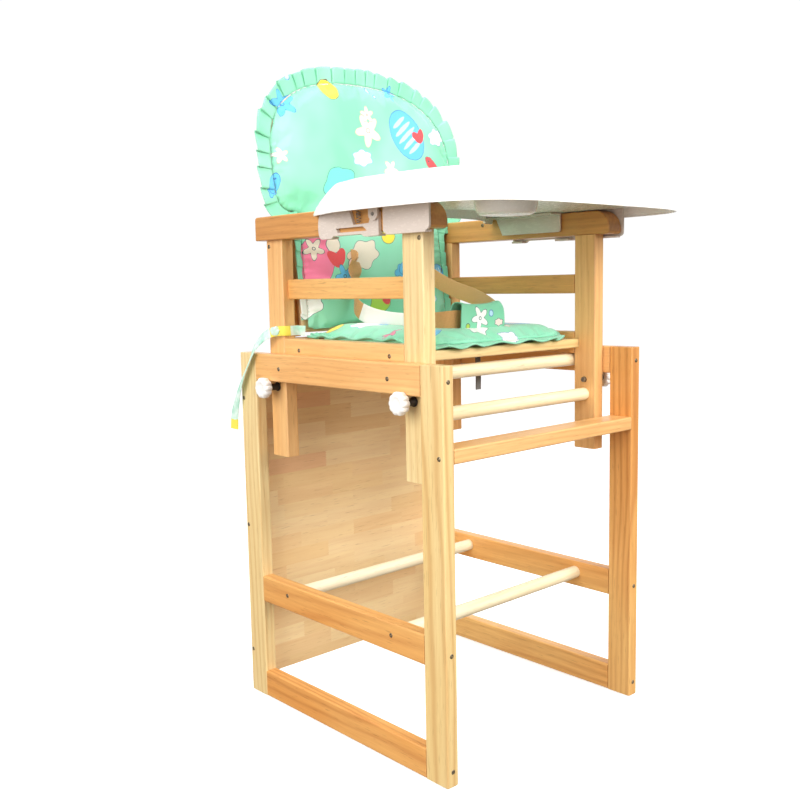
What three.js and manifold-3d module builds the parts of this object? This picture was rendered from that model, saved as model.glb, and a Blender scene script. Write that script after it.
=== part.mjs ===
// Convertible wooden high chair: a small arm-chair stands inside a table-like
// base frame and is held by four clamp knobs.  A moulded tray slides on the
// arm rests and is kept by two sprung latch levers.
// Millimetres, +Z up, the child looks towards -Y.  "Left" is the child's left (+X).
import * as THREE from 'three';
import { mergeVertices } from 'three/addons/utils/BufferGeometryUtils.js';
import Module from 'manifold-3d';

const wasm = await Module();
wasm.setup();

// ---------------------------------------------------------------- dimensions
// Base frame
const BASE_WIDTH = 431.4;
const BASE_DEPTH = 457;
const BASE_HEIGHT = 560;
const BOARD = 20;               // thickness of the base timbers
const TIMBER = 42;              // width of the base timbers
const EDGE_RADIUS = 2.5;        // eased long edges
const MID_RAIL_Z = 159;         // underside of the middle rails
const FOOTREST_Z = 432;         // underside of the flat footrest rail
const FOOTREST_WIDTH = 40.5;
const PANEL_THICKNESS = 13;
const PANEL_MARGIN = 23;        // panel stops short of the frame's top and bottom
const DOWEL_RADIUS = 10;
const UPPER_DOWEL = { y: 124, z: 538 };
const LOWER_DOWEL = { y: 121, z: 183 };

// Chair
const CHAIR_HALF_WIDTH = 195;   // outer faces of the legs
const LEG_THICKNESS = 22;       // across
const LEG_WIDTH = 40;           // front to back
const LEG_Y = 155;              // middle of a leg
const LEG_BOTTOM = 398;
const ARM_BOTTOM = 733;
const ARM_HEIGHT = 36;
const ARM_WIDTH = 32;
const ARM_OVERHANG = 10;        // arm rest stands this far outside the legs
const ARM_FRONT = -200;
const ARM_REAR = 190;
const ARM_NOSE = 28;            // radius of the arm rest's upper front corner
const SLAT = { bottom: 643, height: 30, thickness: 12 };
const APRON = { bottom: 548.3, top: 583 };
const SEAT = { bottom: 558, thickness: 14, front: -145, rear: 134.6 };
const STRETCHER = { y: LEG_Y, z: 485 };
const STRAP_SLOT = { x: 15, y: 3 };      // half sizes of the strap's slot in the seat board
const FIT = 0.3;                // clearance between touching cut pieces

// Reclined back
const RECLINE = THREE.MathUtils.degToRad(6.2);
const BACK_FOOT = { y: 148, z: 590 };   // lower back edge of the back panel
const BACK_PANEL = { thickness: 9, height: 396, lowHalf: 158, highHalf: 190, neck: 186 };
const BACK_CORNER = 15;         // radius of the lower corners of the back panel and its pad
const BACK_HEAD = 90;           // from the neck up to the widest place of the head
const UPRIGHT = { thickness: 20, depth: 20, low: -5, high: 295 };

// Clamp knobs and bolts
const KNOB = { radius: 16.5, lobes: 10, lobeDepth: 3.2, thickness: 14, bevel: 2.5, z: 508 };
const BOLT_RADIUS = 4;

// Tray
const TRAY = {
  floor: 770, plate: 3, skirt: 760, crest: 805, halfWidth: 246, front: -325,
  lean: 27, crestWidth: 6, wallLean: 17.5, middleY: -140, halfDepth: 185,
};
const BELLY = { y: 130, radius: 172, end: -0.62 };     // concave edge beside the child
const TIP = { x: 185, y: -5, radius: 45 };             // rounded tips at both ends of it
const FRONT_CURVE = { y: -60, power: 4.8 };            // superellipse of the sides and front
const CUP = { x: -96, y: -230, radius: 42, taper: 3, depth: 20, wall: 2.5 };
const NOTCH = { front: -100, rear: 60, margin: 1 };    // where the skirt crosses the arm rests
const INNER_GUIDE = { front: -111, rear: 25, heel: 10, bottom: 740, corner: 4, thickness: 4, flange: 26 };
const OUTER_GUIDE = {
  front: -202, rear: -115, top: 773, bottom: 730, thickness: 3.5, corner: 7, rearCorner: 5,
  lipDepth: 8, lipLow: 728, ledgeFront: -188, ledgeRear: -50, ledgeWidth: 9,
};
const LEVER = {
  pinY: -101, pinZ: 756, inner: 206, thickness: 5, top: 764, bottom: 728, front: -108, rear: 22,
  eye: 7, lug: 9, hookReach: 9, hookLow: 727.4, hookHigh: 730.4,
};
const PIN = { radius: 2.2, hole: 2.6 };
const SPRING = { wire: 0.55, radius: 2.9, height: 22.5, turns: 5, y: -66, z: 746.3 };

// Soft goods and straps
const BACK_PAD = { thickness: 20, height: 412, lowHalf: 160, highHalf: 206, neck: 180 };
const SEAT_PAD = { halfWidth: 155, front: -155, rear: 118, thickness: 15, corner: 26, bevel: 4 };
const SLEEVE = { x: -16, y: -103, halfWidth: 44, depth: 24, height: 47, wall: 2.5, corner: 9 };
const BELT = { width: 26, thickness: 1.6 };
const TIE = { width: 16, thickness: 1.4 };
const STRAP = { width: 10, thickness: 2, below: 53 };   // hangs this far below the seat board

// The origin is on the floor under the middle of the whole object.  The base
// frame's own middle lies this far behind it.
const FRAME_Y = -(TRAY.front + BASE_DEPTH / 2) / 2;

// ---------------------------------------------------------------- materials
const pine = new THREE.MeshStandardMaterial({ color: 0xe2a868, roughness: 0.45, metalness: 0 });
const paleWood = new THREE.MeshStandardMaterial({ color: 0xf2d7a4, roughness: 0.5, metalness: 0 });
const boardWood = new THREE.MeshStandardMaterial({ color: 0xdcb083, roughness: 0.55, metalness: 0 });
const whitePlastic = new THREE.MeshStandardMaterial({ color: 0xf4f3f0, roughness: 0.28, metalness: 0 });
const steel = new THREE.MeshStandardMaterial({ color: 0x8d8d90, roughness: 0.35, metalness: 1 });
const mintFabric = new THREE.MeshStandardMaterial({ color: 0x9fe8cf, roughness: 0.9, metalness: 0 });
const webbing = new THREE.MeshStandardMaterial({ color: 0xa9794a, roughness: 0.85, metalness: 0 });

// ---------------------------------------------------------------- helpers
// A closed geometry as a manifold solid.
function solid(geometry) {
  const plain = geometry.clone();
  plain.deleteAttribute('normal');
  plain.deleteAttribute('uv');
  const merged = mergeVertices(plain, 1e-4);
  return new wasm.Manifold(new wasm.Mesh({
    numProp: 3,
    vertProperties: new Float32Array(merged.attributes.position.array),
    triVerts: new Uint32Array(merged.index.array),
  }));
}

// A manifold solid as a geometry again.
function geometryOf(manifold) {
  const mesh = manifold.getMesh();
  const geometry = new THREE.BufferGeometry();
  geometry.setAttribute('position', new THREE.BufferAttribute(mesh.vertProperties, 3));
  geometry.setIndex(new THREE.BufferAttribute(mesh.triVerts, 1));
  geometry.computeVertexNormals();
  return geometry;
}

function part(name, geometry, material) {
  const mesh = new THREE.Mesh(geometry, material);
  mesh.name = name;
  return mesh;
}

function roundedRectangle(width, height, radius) {
  const shape = new THREE.Shape();
  const x = width / 2;
  const y = height / 2;
  shape.moveTo(-x + radius, -y);
  shape.lineTo(x - radius, -y);
  shape.absarc(x - radius, -y + radius, radius, -Math.PI / 2, 0, false);
  shape.lineTo(x, y - radius);
  shape.absarc(x - radius, y - radius, radius, 0, Math.PI / 2, false);
  shape.lineTo(-x + radius, y);
  shape.absarc(-x + radius, y - radius, radius, Math.PI / 2, Math.PI, false);
  shape.lineTo(-x, -y + radius);
  shape.absarc(-x + radius, -y + radius, radius, Math.PI, 1.5 * Math.PI, false);
  return shape;
}

// A flat-ended prism of a section, centred on its own length.
function prism(section, length, curveSegments = 3) {
  const options = { depth: length, bevelEnabled: false, curveSegments };
  return new THREE.ExtrudeGeometry(section, options).translate(0, 0, -length / 2);
}

// Timber with eased long edges that fills the box from "low" to "high".
function timber(low, high, grain) {
  const size = high.map((value, axis) => value - low[axis]);
  const middle = high.map((value, axis) => (value + low[axis]) / 2);
  let geometry;
  if (grain === 'x') {
    geometry = prism(roundedRectangle(size[2], size[1], EDGE_RADIUS), size[0]).rotateY(Math.PI / 2);
  } else if (grain === 'y') {
    geometry = prism(roundedRectangle(size[0], size[2], EDGE_RADIUS), size[1]).rotateX(Math.PI / 2);
  } else {
    geometry = prism(roundedRectangle(size[0], size[1], EDGE_RADIUS), size[2]);
  }
  return geometry.translate(...middle);
}

// A block that fills the box from "low" to "high".
function block(low, high) {
  const size = high.map((value, axis) => value - low[axis]);
  const middle = high.map((value, axis) => (value + low[axis]) / 2);
  return new THREE.BoxGeometry(...size).translate(...middle);
}

// A cylinder along X.
function rod(radius, x0, x1, y, z, sides = 24) {
  return new THREE.CylinderGeometry(radius, radius, x1 - x0, sides)
    .rotateZ(Math.PI / 2).translate((x0 + x1) / 2, y, z);
}

// A plate seen from the side: the outline is drawn as (y, z) and the plate
// reaches from x0 to x1.
function sidePlate(outline, x0, x1, curveSegments = 6) {
  const options = { depth: x1 - x0, bevelEnabled: false, curveSegments };
  const geometry = new THREE.ExtrudeGeometry(outline, options);
  geometry.rotateZ(Math.PI / 2).rotateY(Math.PI / 2);
  return geometry.translate(x0, 0, 0);
}

// The same piece on the child's right: x changes sign and the faces turn over.
function mirrored(geometry) {
  const copy = geometry.index ? geometry.toNonIndexed() : geometry.clone();
  copy.deleteAttribute('normal');
  copy.deleteAttribute('uv');
  copy.scale(-1, 1, 1);
  const position = copy.attributes.position;
  const a = new THREE.Vector3();
  const b = new THREE.Vector3();
  for (let i = 0; i < position.count; i += 3) {
    a.fromBufferAttribute(position, i + 1);
    b.fromBufferAttribute(position, i + 2);
    position.setXYZ(i + 1, b.x, b.y, b.z);
    position.setXYZ(i + 2, a.x, a.y, a.z);
  }
  copy.computeVertexNormals();
  return copy;
}

// Adds a piece on the left and its mirror image on the right.
function pair(group, name, geometry, material) {
  group.add(part(`${name}_left`, geometry, material));
  group.add(part(`${name}_right`, mirrored(geometry), material));
}

// ---------------------------------------------------------------- base frame
function baseFrame() {
  const group = new THREE.Group();
  const outer = BASE_WIDTH / 2;
  const inner = outer - BOARD;
  const end = BASE_DEPTH / 2;
  const railEnd = end - TIMBER;

  const post = (rear) => (rear
    ? timber([inner, railEnd, 0], [outer, end, BASE_HEIGHT], 'z')
    : timber([inner, -end, 0], [outer, -railEnd, BASE_HEIGHT], 'z'));
  pair(group, 'base_front_post', post(false), pine);
  pair(group, 'base_rear_post', post(true), pine);

  const rail = (z) => timber([inner, -railEnd, z], [outer, railEnd, z + TIMBER], 'y');
  pair(group, 'base_top_rail', rail(BASE_HEIGHT - TIMBER), pine);
  pair(group, 'base_middle_rail', rail(MID_RAIL_Z), pine);
  pair(group, 'base_bottom_rail', rail(0), pine);

  const footrestRear = -end + FOOTREST_WIDTH;
  const footrest = timber([-inner, -end, FOOTREST_Z], [inner, footrestRear, FOOTREST_Z + BOARD], 'x');
  group.add(part('footrest_rail', footrest, pine));

  const panelLow = [-inner, end - PANEL_THICKNESS, PANEL_MARGIN];
  const panel = block(panelLow, [inner, end, BASE_HEIGHT - PANEL_MARGIN]);
  group.add(part('table_panel', panel, boardWood));

  const dowel = ({ y, z }, side) => rod(DOWEL_RADIUS, -inner, inner, side * y, z);
  group.add(part('upper_dowel_front', dowel(UPPER_DOWEL, -1), paleWood));
  group.add(part('upper_dowel_rear', dowel(UPPER_DOWEL, 1), paleWood));
  group.add(part('lower_dowel_front', dowel(LOWER_DOWEL, -1), paleWood));
  group.add(part('lower_dowel_rear', dowel(LOWER_DOWEL, 1), paleWood));
  return group;
}

// ---------------------------------------------------------------- chair
function chairLeg(side) {
  const inner = CHAIR_HALF_WIDTH - LEG_THICKNESS;
  const y = side * LEG_Y;
  const leg = timber([inner, y - LEG_WIDTH / 2, LEG_BOTTOM],
    [CHAIR_HALF_WIDTH, y + LEG_WIDTH / 2, ARM_BOTTOM], 'z');
  const hole = rod(BOLT_RADIUS + 0.5, inner - 5, CHAIR_HALF_WIDTH + 5, y, KNOB.z, 16);
  return geometryOf(solid(leg).subtract(solid(hole)));
}

function armRest() {
  const outline = new THREE.Shape();
  const top = ARM_BOTTOM + ARM_HEIGHT;
  const ease = 5;
  outline.moveTo(ARM_REAR, ARM_BOTTOM);
  outline.lineTo(ARM_REAR, top - ease);
  outline.absarc(ARM_REAR - ease, top - ease, ease, 0, Math.PI / 2, false);
  outline.lineTo(ARM_FRONT + ARM_NOSE, top);
  outline.absarc(ARM_FRONT + ARM_NOSE, top - ARM_NOSE, ARM_NOSE, Math.PI / 2, Math.PI, false);
  outline.lineTo(ARM_FRONT, ARM_BOTTOM + ease);
  outline.absarc(ARM_FRONT + ease, ARM_BOTTOM + ease, ease, Math.PI, 1.5 * Math.PI, false);
  const outerX = CHAIR_HALF_WIDTH + ARM_OVERHANG;
  const options = {
    depth: ARM_WIDTH - 4, bevelEnabled: true, bevelThickness: 2, bevelSize: 2, bevelOffset: -2,
    bevelSegments: 2, curveSegments: 6,
  };
  const geometry = new THREE.ExtrudeGeometry(outline, options);
  geometry.rotateZ(Math.PI / 2).rotateY(Math.PI / 2);
  return geometry.translate(outerX - ARM_WIDTH + 2, 0, 0);
}

function chair() {
  const group = new THREE.Group();
  const inner = CHAIR_HALF_WIDTH - LEG_THICKNESS;
  const legFace = LEG_Y - LEG_WIDTH / 2;
  pair(group, 'chair_front_leg', chairLeg(-1), pine);
  pair(group, 'chair_rear_leg', chairLeg(1), pine);
  pair(group, 'arm_rest', armRest(), pine);

  const slat = timber([inner, -legFace, SLAT.bottom],
    [inner + SLAT.thickness, legFace, SLAT.bottom + SLAT.height], 'y');
  pair(group, 'side_slat', slat, pine);
  const apron = timber([inner, -legFace, APRON.bottom], [CHAIR_HALF_WIDTH, legFace, APRON.top], 'y');
  pair(group, 'seat_apron', apron, pine);

  const seatTop = SEAT.bottom + SEAT.thickness;
  const boardHalf = inner - FIT;
  const board = timber([-boardHalf, SEAT.front, SEAT.bottom], [boardHalf, SEAT.rear, seatTop], 'x');
  const slotLow = [SLEEVE.x - STRAP_SLOT.x, SLEEVE.y - STRAP_SLOT.y, SEAT.bottom - 5];
  const slotHigh = [SLEEVE.x + STRAP_SLOT.x, SLEEVE.y + STRAP_SLOT.y, seatTop + 5];
  const slot = block(slotLow, slotHigh);
  group.add(part('seat_board', geometryOf(solid(board).subtract(solid(slot))), pine));

  const rearRail = timber([-boardHalf, legFace, APRON.bottom], [boardHalf, legFace + BOARD, APRON.top], 'x');
  group.add(part('seat_rear_rail', rearRail, pine));
  const stretcher = rod(DOWEL_RADIUS, -inner, inner, -STRETCHER.y, STRETCHER.z);
  group.add(part('front_stretcher', stretcher, paleWood));
  return group;
}

// ---------------------------------------------------------------- back
// Outline of the back panel or of its pad: straight sides that pass between
// the arm rests, then a wider rounded head.
function backOutline({ height, lowHalf, highHalf, neck }) {
  const shape = new THREE.Shape();
  const shoulder = neck + BACK_HEAD;
  const headRise = height - shoulder;
  const corner = BACK_CORNER;
  shape.moveTo(-lowHalf + corner, 0);
  shape.lineTo(lowHalf - corner, 0);
  shape.absarc(lowHalf - corner, corner, corner, -Math.PI / 2, 0, false);
  shape.lineTo(lowHalf, neck);
  shape.bezierCurveTo(lowHalf + 30, neck + 3, highHalf, neck + 25, highHalf, shoulder);
  shape.bezierCurveTo(highHalf, shoulder + 0.75 * headRise, highHalf * 0.6, height, 0, height);
  shape.bezierCurveTo(-highHalf * 0.6, height, -highHalf, shoulder + 0.75 * headRise, -highHalf, shoulder);
  shape.bezierCurveTo(-highHalf, neck + 25, -lowHalf - 30, neck + 3, -lowHalf, neck);
  shape.lineTo(-lowHalf, corner);
  shape.absarc(-lowHalf + corner, corner, corner, Math.PI, 1.5 * Math.PI, false);
  return shape;
}

// A plate drawn in the plane of the back, standing upright, its front at y0.
function backPlate(outline, y0, thickness) {
  const bevel = Math.min(3, thickness / 4);
  const options = {
    depth: thickness - 2 * bevel, bevelEnabled: true, bevelThickness: bevel, bevelSize: bevel,
    bevelOffset: -bevel, bevelSegments: 1, curveSegments: 6,
  };
  const geometry = new THREE.ExtrudeGeometry(outline, options);
  geometry.rotateX(Math.PI / 2);
  return geometry.translate(0, y0 + thickness - bevel, 0);
}

function back() {
  const group = new THREE.Group();
  group.position.set(0, BACK_FOOT.y, BACK_FOOT.z);
  group.rotation.x = -RECLINE;
  const panelFront = -BACK_PANEL.thickness;
  const panel = backPlate(backOutline(BACK_PANEL), panelFront, BACK_PANEL.thickness);
  group.add(part('back_panel', panel, boardWood));
  const padFront = panelFront - FIT - BACK_PAD.thickness;
  const pad = backPlate(backOutline(BACK_PAD), padFront, BACK_PAD.thickness);
  group.add(part('back_cushion', pad, mintFabric));
  const outer = CHAIR_HALF_WIDTH - LEG_THICKNESS - FIT;
  const upright = timber([outer - UPRIGHT.thickness, FIT, UPRIGHT.low],
    [outer, UPRIGHT.depth, UPRIGHT.high], 'z');
  pair(group, 'back_upright', upright, pine);
  return group;
}

// ---------------------------------------------------------------- knobs
function knobOutline() {
  const points = [];
  const steps = KNOB.lobes * 4;
  for (let i = 0; i < steps; i += 1) {
    const angle = (i / steps) * 2 * Math.PI;
    const r = KNOB.radius - (KNOB.lobeDepth / 2) * (1 - Math.cos(angle * KNOB.lobes));
    points.push(new THREE.Vector2(r * Math.cos(angle), r * Math.sin(angle)));
  }
  return new THREE.Shape(points);
}

function knobGeometry(y) {
  const { bevel } = KNOB;
  const options = {
    depth: KNOB.thickness - 2 * bevel, bevelEnabled: true, bevelThickness: bevel, bevelSize: bevel,
    bevelOffset: -bevel, bevelSegments: 1,
  };
  const face = BASE_WIDTH / 2 + FIT;
  const body = new THREE.ExtrudeGeometry(knobOutline(), options).rotateY(Math.PI / 2);
  body.translate(face + bevel, y, KNOB.z);
  const bore = rod(BOLT_RADIUS + FIT, face - 5, face + 9, y, KNOB.z, 16);
  return geometryOf(solid(body).subtract(solid(bore)));
}

function clamps() {
  const group = new THREE.Group();
  const inner = CHAIR_HALF_WIDTH - LEG_THICKNESS;
  for (const [place, y] of [['front', -LEG_Y], ['rear', LEG_Y]]) {
    pair(group, `clamp_knob_${place}`, knobGeometry(y), whitePlastic);
    const bolt = rod(BOLT_RADIUS, inner - 4, BASE_WIDTH / 2 + 8, y, KNOB.z, 16);
    pair(group, `clamp_bolt_${place}`, bolt, steel);
  }
  return group;
}

// ---------------------------------------------------------------- tray
// Plan outline of the tray's skirt: a concave belly edge, two rounded tips
// beside the child and a broad rounded front.
function trayOutline() {
  const half = [];
  const arc = (cx, cy, r, from, to, steps) => {
    for (let i = 0; i <= steps; i += 1) {
      const angle = from + (to - from) * (i / steps);
      half.push(new THREE.Vector2(cx + r * Math.cos(angle), cy + r * Math.sin(angle)));
    }
  };
  arc(0, BELLY.y, BELLY.radius, -Math.PI / 2, BELLY.end, 6);
  arc(TIP.x, TIP.y, TIP.radius, Math.PI * 0.6, 0, 6);
  const depth = FRONT_CURVE.y - TRAY.front;
  const exponent = 2 / FRONT_CURVE.power;
  const steps = 14;
  for (let i = 0; i <= steps; i += 1) {
    const angle = (i / steps) * (Math.PI / 2);
    const x = TRAY.halfWidth * Math.cos(angle) ** exponent;
    half.push(new THREE.Vector2(x, FRONT_CURVE.y - depth * Math.sin(angle) ** exponent));
  }
  const otherHalf = half.slice(1, -1).reverse().map((p) => new THREE.Vector2(-p.x, p.y));
  return new THREE.Shape([...half, ...otherHalf]);
}

// The outline as a solid from z0 to z1, drawn in at each height by inset(t),
// where t runs from 0 at the bottom to 1 at the top.
function trayBody(z0, z1, steps, inset) {
  const options = { depth: z1 - z0, steps, bevelEnabled: false };
  const geometry = new THREE.ExtrudeGeometry(trayOutline(), options);
  const position = geometry.attributes.position;
  for (let i = 0; i < position.count; i += 1) {
    const t = position.getZ(i) / (z1 - z0);
    const drawIn = inset(t);
    const x = position.getX(i) * (1 - drawIn / TRAY.halfWidth);
    const y = TRAY.middleY + (position.getY(i) - TRAY.middleY) * (1 - drawIn / TRAY.halfDepth);
    position.setXYZ(i, x, y, z0 + position.getZ(i));
  }
  return solid(geometry);
}

function trayShell() {
  const wall = TRAY.plate;
  const rise = TRAY.crest - TRAY.skirt;
  const lean = (z) => TRAY.lean * Math.max(0, (z - TRAY.skirt) / rise) ** 1.4;
  const outer = trayBody(TRAY.skirt, TRAY.crest, 3, (t) => lean(TRAY.skirt + t * rise));
  const dishTop = TRAY.lean + TRAY.crestWidth;
  const dishFloor = TRAY.floor + wall;
  const dishInset = (t) => dishTop + TRAY.wallLean * (1 - t) ** 1.5;
  const dish = trayBody(dishFloor, TRAY.crest + 0.5, 2, dishInset);
  const dishOutside = trayBody(TRAY.floor, TRAY.crest + 0.5, 2, (t) => dishInset(t) - wall);
  const hollowTop = TRAY.crest - wall - 2;
  const hollowRise = hollowTop - (TRAY.skirt - 1);
  const hollow = trayBody(TRAY.skirt - 1, hollowTop, 3, (t) => lean(TRAY.skirt - 1 + t * hollowRise) + wall);
  const cup = (radius, z0, z1) => {
    const geometry = new THREE.CylinderGeometry(radius, radius - CUP.taper, z1 - z0, 28);
    return solid(geometry.rotateX(Math.PI / 2).translate(CUP.x, CUP.y, (z0 + z1) / 2));
  };
  const cupBottom = TRAY.floor - CUP.depth;
  // The skirt is notched where it crosses the arm rests.
  const armOuter = CHAIR_HALF_WIDTH + ARM_OVERHANG + NOTCH.margin;
  const armInner = armOuter - ARM_WIDTH - 2 * NOTCH.margin;
  const notch = (side) => {
    const [x0, x1] = side > 0 ? [armInner, armOuter] : [-armOuter, -armInner];
    return solid(block([x0, NOTCH.front, TRAY.skirt - 5], [x1, NOTCH.rear, TRAY.floor - 0.5]));
  };
  return geometryOf(outer.subtract(dish)
    .subtract(hollow.subtract(dishOutside))
    .subtract(notch(1))
    .subtract(notch(-1))
    .add(cup(CUP.radius, cupBottom, TRAY.floor + 1))
    .subtract(cup(CUP.radius - CUP.wall, cupBottom + CUP.wall, dishFloor + 1)));
}

// Inner guide: an angle under the tray floor that runs along the arm rest.
function innerGuide() {
  const { front, rear, heel, bottom, corner, thickness, flange } = INNER_GUIDE;
  const wallX = CHAIR_HALF_WIDTH + ARM_OVERHANG - ARM_WIDTH - 2;
  const top = TRAY.floor - FIT;
  const outline = new THREE.Shape();
  outline.moveTo(rear, top);
  outline.lineTo(front, top);
  outline.lineTo(front, bottom + corner);
  outline.absarc(front + corner, bottom + corner, corner, Math.PI, 1.5 * Math.PI, false);
  outline.lineTo(heel, bottom);
  const web = solid(sidePlate(outline, wallX - thickness, wallX));
  const flangeTop = solid(block([wallX - flange, front, top - 3], [wallX - 2, rear, top]));
  return geometryOf(web.add(flangeTop));
}

// Outer guide: a cover plate beside the arm rest with a lip below it, a ledge
// under the tray's rim and a lug for the lever's pin.
function outerGuide() {
  const { inner, pinY, pinZ, lug } = LEVER;
  const {
    front, rear, top, bottom, thickness, corner, rearCorner, lipDepth, lipLow, ledgeFront, ledgeRear,
    ledgeWidth,
  } = OUTER_GUIDE;
  const outer = inner + thickness;
  const outline = new THREE.Shape();
  outline.moveTo(rear, top);
  outline.lineTo(front, top);
  outline.lineTo(front, bottom + corner);
  outline.absarc(front + corner, bottom + corner, corner, Math.PI, 1.5 * Math.PI, false);
  outline.lineTo(rear - rearCorner, bottom);
  outline.absarc(rear - rearCorner, bottom + rearCorner, rearCorner, 1.5 * Math.PI, 2 * Math.PI, false);
  const plate = solid(sidePlate(outline, inner, outer));
  const lipHigh = [outer, rear - rearCorner, bottom + 0.6];
  const lip = solid(block([inner - lipDepth, front + corner, lipLow], lipHigh));
  const ledge = solid(block([inner - 5, ledgeFront, TRAY.floor + 0.4], [inner + ledgeWidth, ledgeRear, top]));
  const lugOutline = new THREE.Shape();
  lugOutline.moveTo(pinY + lug, top);
  lugOutline.lineTo(pinY - lug, top);
  lugOutline.lineTo(pinY - lug, pinZ);
  lugOutline.absarc(pinY, pinZ, lug, Math.PI, 2 * Math.PI, false);
  const lugFace = inner + LEVER.thickness + 1;
  const lugPlate = solid(sidePlate(lugOutline, lugFace, lugFace + 3));
  const pinHole = solid(rod(PIN.hole, lugFace - 5, lugFace + 8, pinY, pinZ, 16));
  return geometryOf(plate.add(lip).add(ledge).add(lugPlate).subtract(pinHole));
}

// Latch lever: a slotted plate outside the arm rest with two hooks below it.
// Its raised rear part is the grip, and the eye at its front turns on the pin.
function latchLever() {
  const { pinY, pinZ, inner, thickness, top, bottom, front, rear, eye, hookReach, hookLow, hookHigh } = LEVER;
  const outer = inner + thickness;
  const gripRear = rear - 8;
  const outline = new THREE.Shape();
  outline.moveTo(gripRear, top);
  outline.lineTo(gripRear - 62, top);
  outline.lineTo(gripRear - 70, top - 20);
  outline.lineTo(pinY + 13, pinZ - 11);
  outline.lineTo(pinY + eye, pinZ + 2);
  outline.absarc(pinY, pinZ, eye, 0.29, Math.PI, false);
  outline.lineTo(front, bottom);
  outline.lineTo(front + 32, bottom);
  outline.lineTo(front + 36, bottom + 3);
  outline.lineTo(gripRear - 26, bottom + 3);
  outline.lineTo(gripRear - 22, bottom);
  outline.lineTo(gripRear + 2, bottom);
  outline.quadraticCurveTo(rear, bottom + 2, rear, (top + bottom) / 2 - 1);
  outline.quadraticCurveTo(rear, top - 4, gripRear, top);
  const slot = new THREE.Path();
  slot.moveTo(front + 24, bottom + 7);
  slot.lineTo(gripRear - 36, bottom + 7);
  slot.lineTo(gripRear - 32, bottom + 13);
  slot.lineTo(front + 32, bottom + 13);
  outline.holes.push(slot);
  const plate = solid(sidePlate(outline, inner, outer));
  const hook = (y0, y1) => solid(block([inner - hookReach, y0, hookLow], [outer - 0.5, y1, hookHigh]));
  const pinHole = solid(rod(PIN.hole, inner - 5, outer + 5, pinY, pinZ, 16));
  return geometryOf(plate.add(hook(front + 1, front + 31)).add(hook(gripRear - 21, gripRear + 1))
    .subtract(pinHole));
}

class Helix extends THREE.Curve {
  constructor(radius, height, turns) {
    super();
    Object.assign(this, { radius, height, turns });
  }

  getPoint(t, target = new THREE.Vector3()) {
    const angle = 2 * Math.PI * this.turns * t;
    return target.set(this.radius * Math.cos(angle), this.radius * Math.sin(angle), this.height * t);
  }
}

function latchSpring() {
  const wire = new THREE.Shape().absarc(0, 0, SPRING.wire, 0, 2 * Math.PI, false);
  const coil = new Helix(SPRING.radius, SPRING.height, SPRING.turns);
  const options = { steps: 8 * SPRING.turns, curveSegments: 2, extrudePath: coil };
  return new THREE.ExtrudeGeometry(wire, options).translate(LEVER.inner + 4, SPRING.y, SPRING.z);
}

function tray() {
  const group = new THREE.Group();
  group.add(part('tray_shell', trayShell(), whitePlastic));
  pair(group, 'tray_inner_guide', innerGuide(), whitePlastic);
  pair(group, 'tray_outer_guide', outerGuide(), whitePlastic);
  pair(group, 'latch_lever', latchLever(), whitePlastic);
  const pinEnd = LEVER.inner + LEVER.thickness + 5.5;
  const pin = rod(PIN.radius, LEVER.inner + 0.2, pinEnd, LEVER.pinY, LEVER.pinZ, 16);
  pair(group, 'latch_pin', pin, steel);
  pair(group, 'latch_spring', latchSpring(), steel);
  return group;
}

// ---------------------------------------------------------------- soft goods
function seatCushion() {
  const { halfWidth, front, rear, thickness, corner, bevel } = SEAT_PAD;
  const outline = roundedRectangle(2 * halfWidth, rear - front, corner);
  const options = {
    depth: thickness - 2 * bevel, bevelEnabled: true, bevelThickness: bevel, bevelSize: bevel,
    bevelOffset: -bevel, bevelSegments: 2, curveSegments: 5,
  };
  const bottom = SEAT.bottom + SEAT.thickness + FIT;
  return new THREE.ExtrudeGeometry(outline, options).translate(0, (front + rear) / 2, bottom + bevel);
}

// Fabric sleeve that holds the belt between the child's legs, open at both sides.
function crotchSleeve() {
  const bottom = SEAT.bottom + SEAT.thickness + SEAT_PAD.thickness + 2 * FIT;
  const { height, depth, wall, corner } = SLEEVE;
  const section = roundedRectangle(height, depth, corner);
  const inside = roundedRectangle(height - 2 * wall, depth - 2 * wall, corner - 2);
  section.holes.push(new THREE.Path(inside.getPoints(4)));
  const geometry = prism(section, 2 * SLEEVE.halfWidth, 4).rotateY(Math.PI / 2);
  return geometry.translate(SLEEVE.x, SLEEVE.y, bottom + SLEEVE.height / 2);
}

// A flat ribbon along a smooth route, its width standing up along Z.
function ribbon(route, width, thickness, steps) {
  const curve = new THREE.CatmullRomCurve3(route.map((p) => new THREE.Vector3(...p)), false, 'centripetal');
  const corners = [[-0.5, -0.5], [0.5, -0.5], [0.5, 0.5], [-0.5, 0.5]];
  const section = new THREE.Shape(corners.map(([x, y]) => new THREE.Vector2(x, y)));
  const geometry = new THREE.ExtrudeGeometry(section, { depth: 1, steps, bevelEnabled: false });
  const position = geometry.attributes.position;
  for (let i = 0; i < position.count; i += 1) {
    const t = position.getZ(i);
    const point = curve.getPoint(t);
    const along = curve.getTangent(t);
    const across = new THREE.Vector3(along.y, -along.x, 0).normalize();
    const up = new THREE.Vector3().crossVectors(across, along).normalize();
    point.addScaledVector(across, position.getX(i) * thickness);
    point.addScaledVector(up, -position.getY(i) * width);
    position.setXYZ(i, point.x, point.y, point.z);
  }
  geometry.computeVertexNormals();
  return geometry;
}

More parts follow.
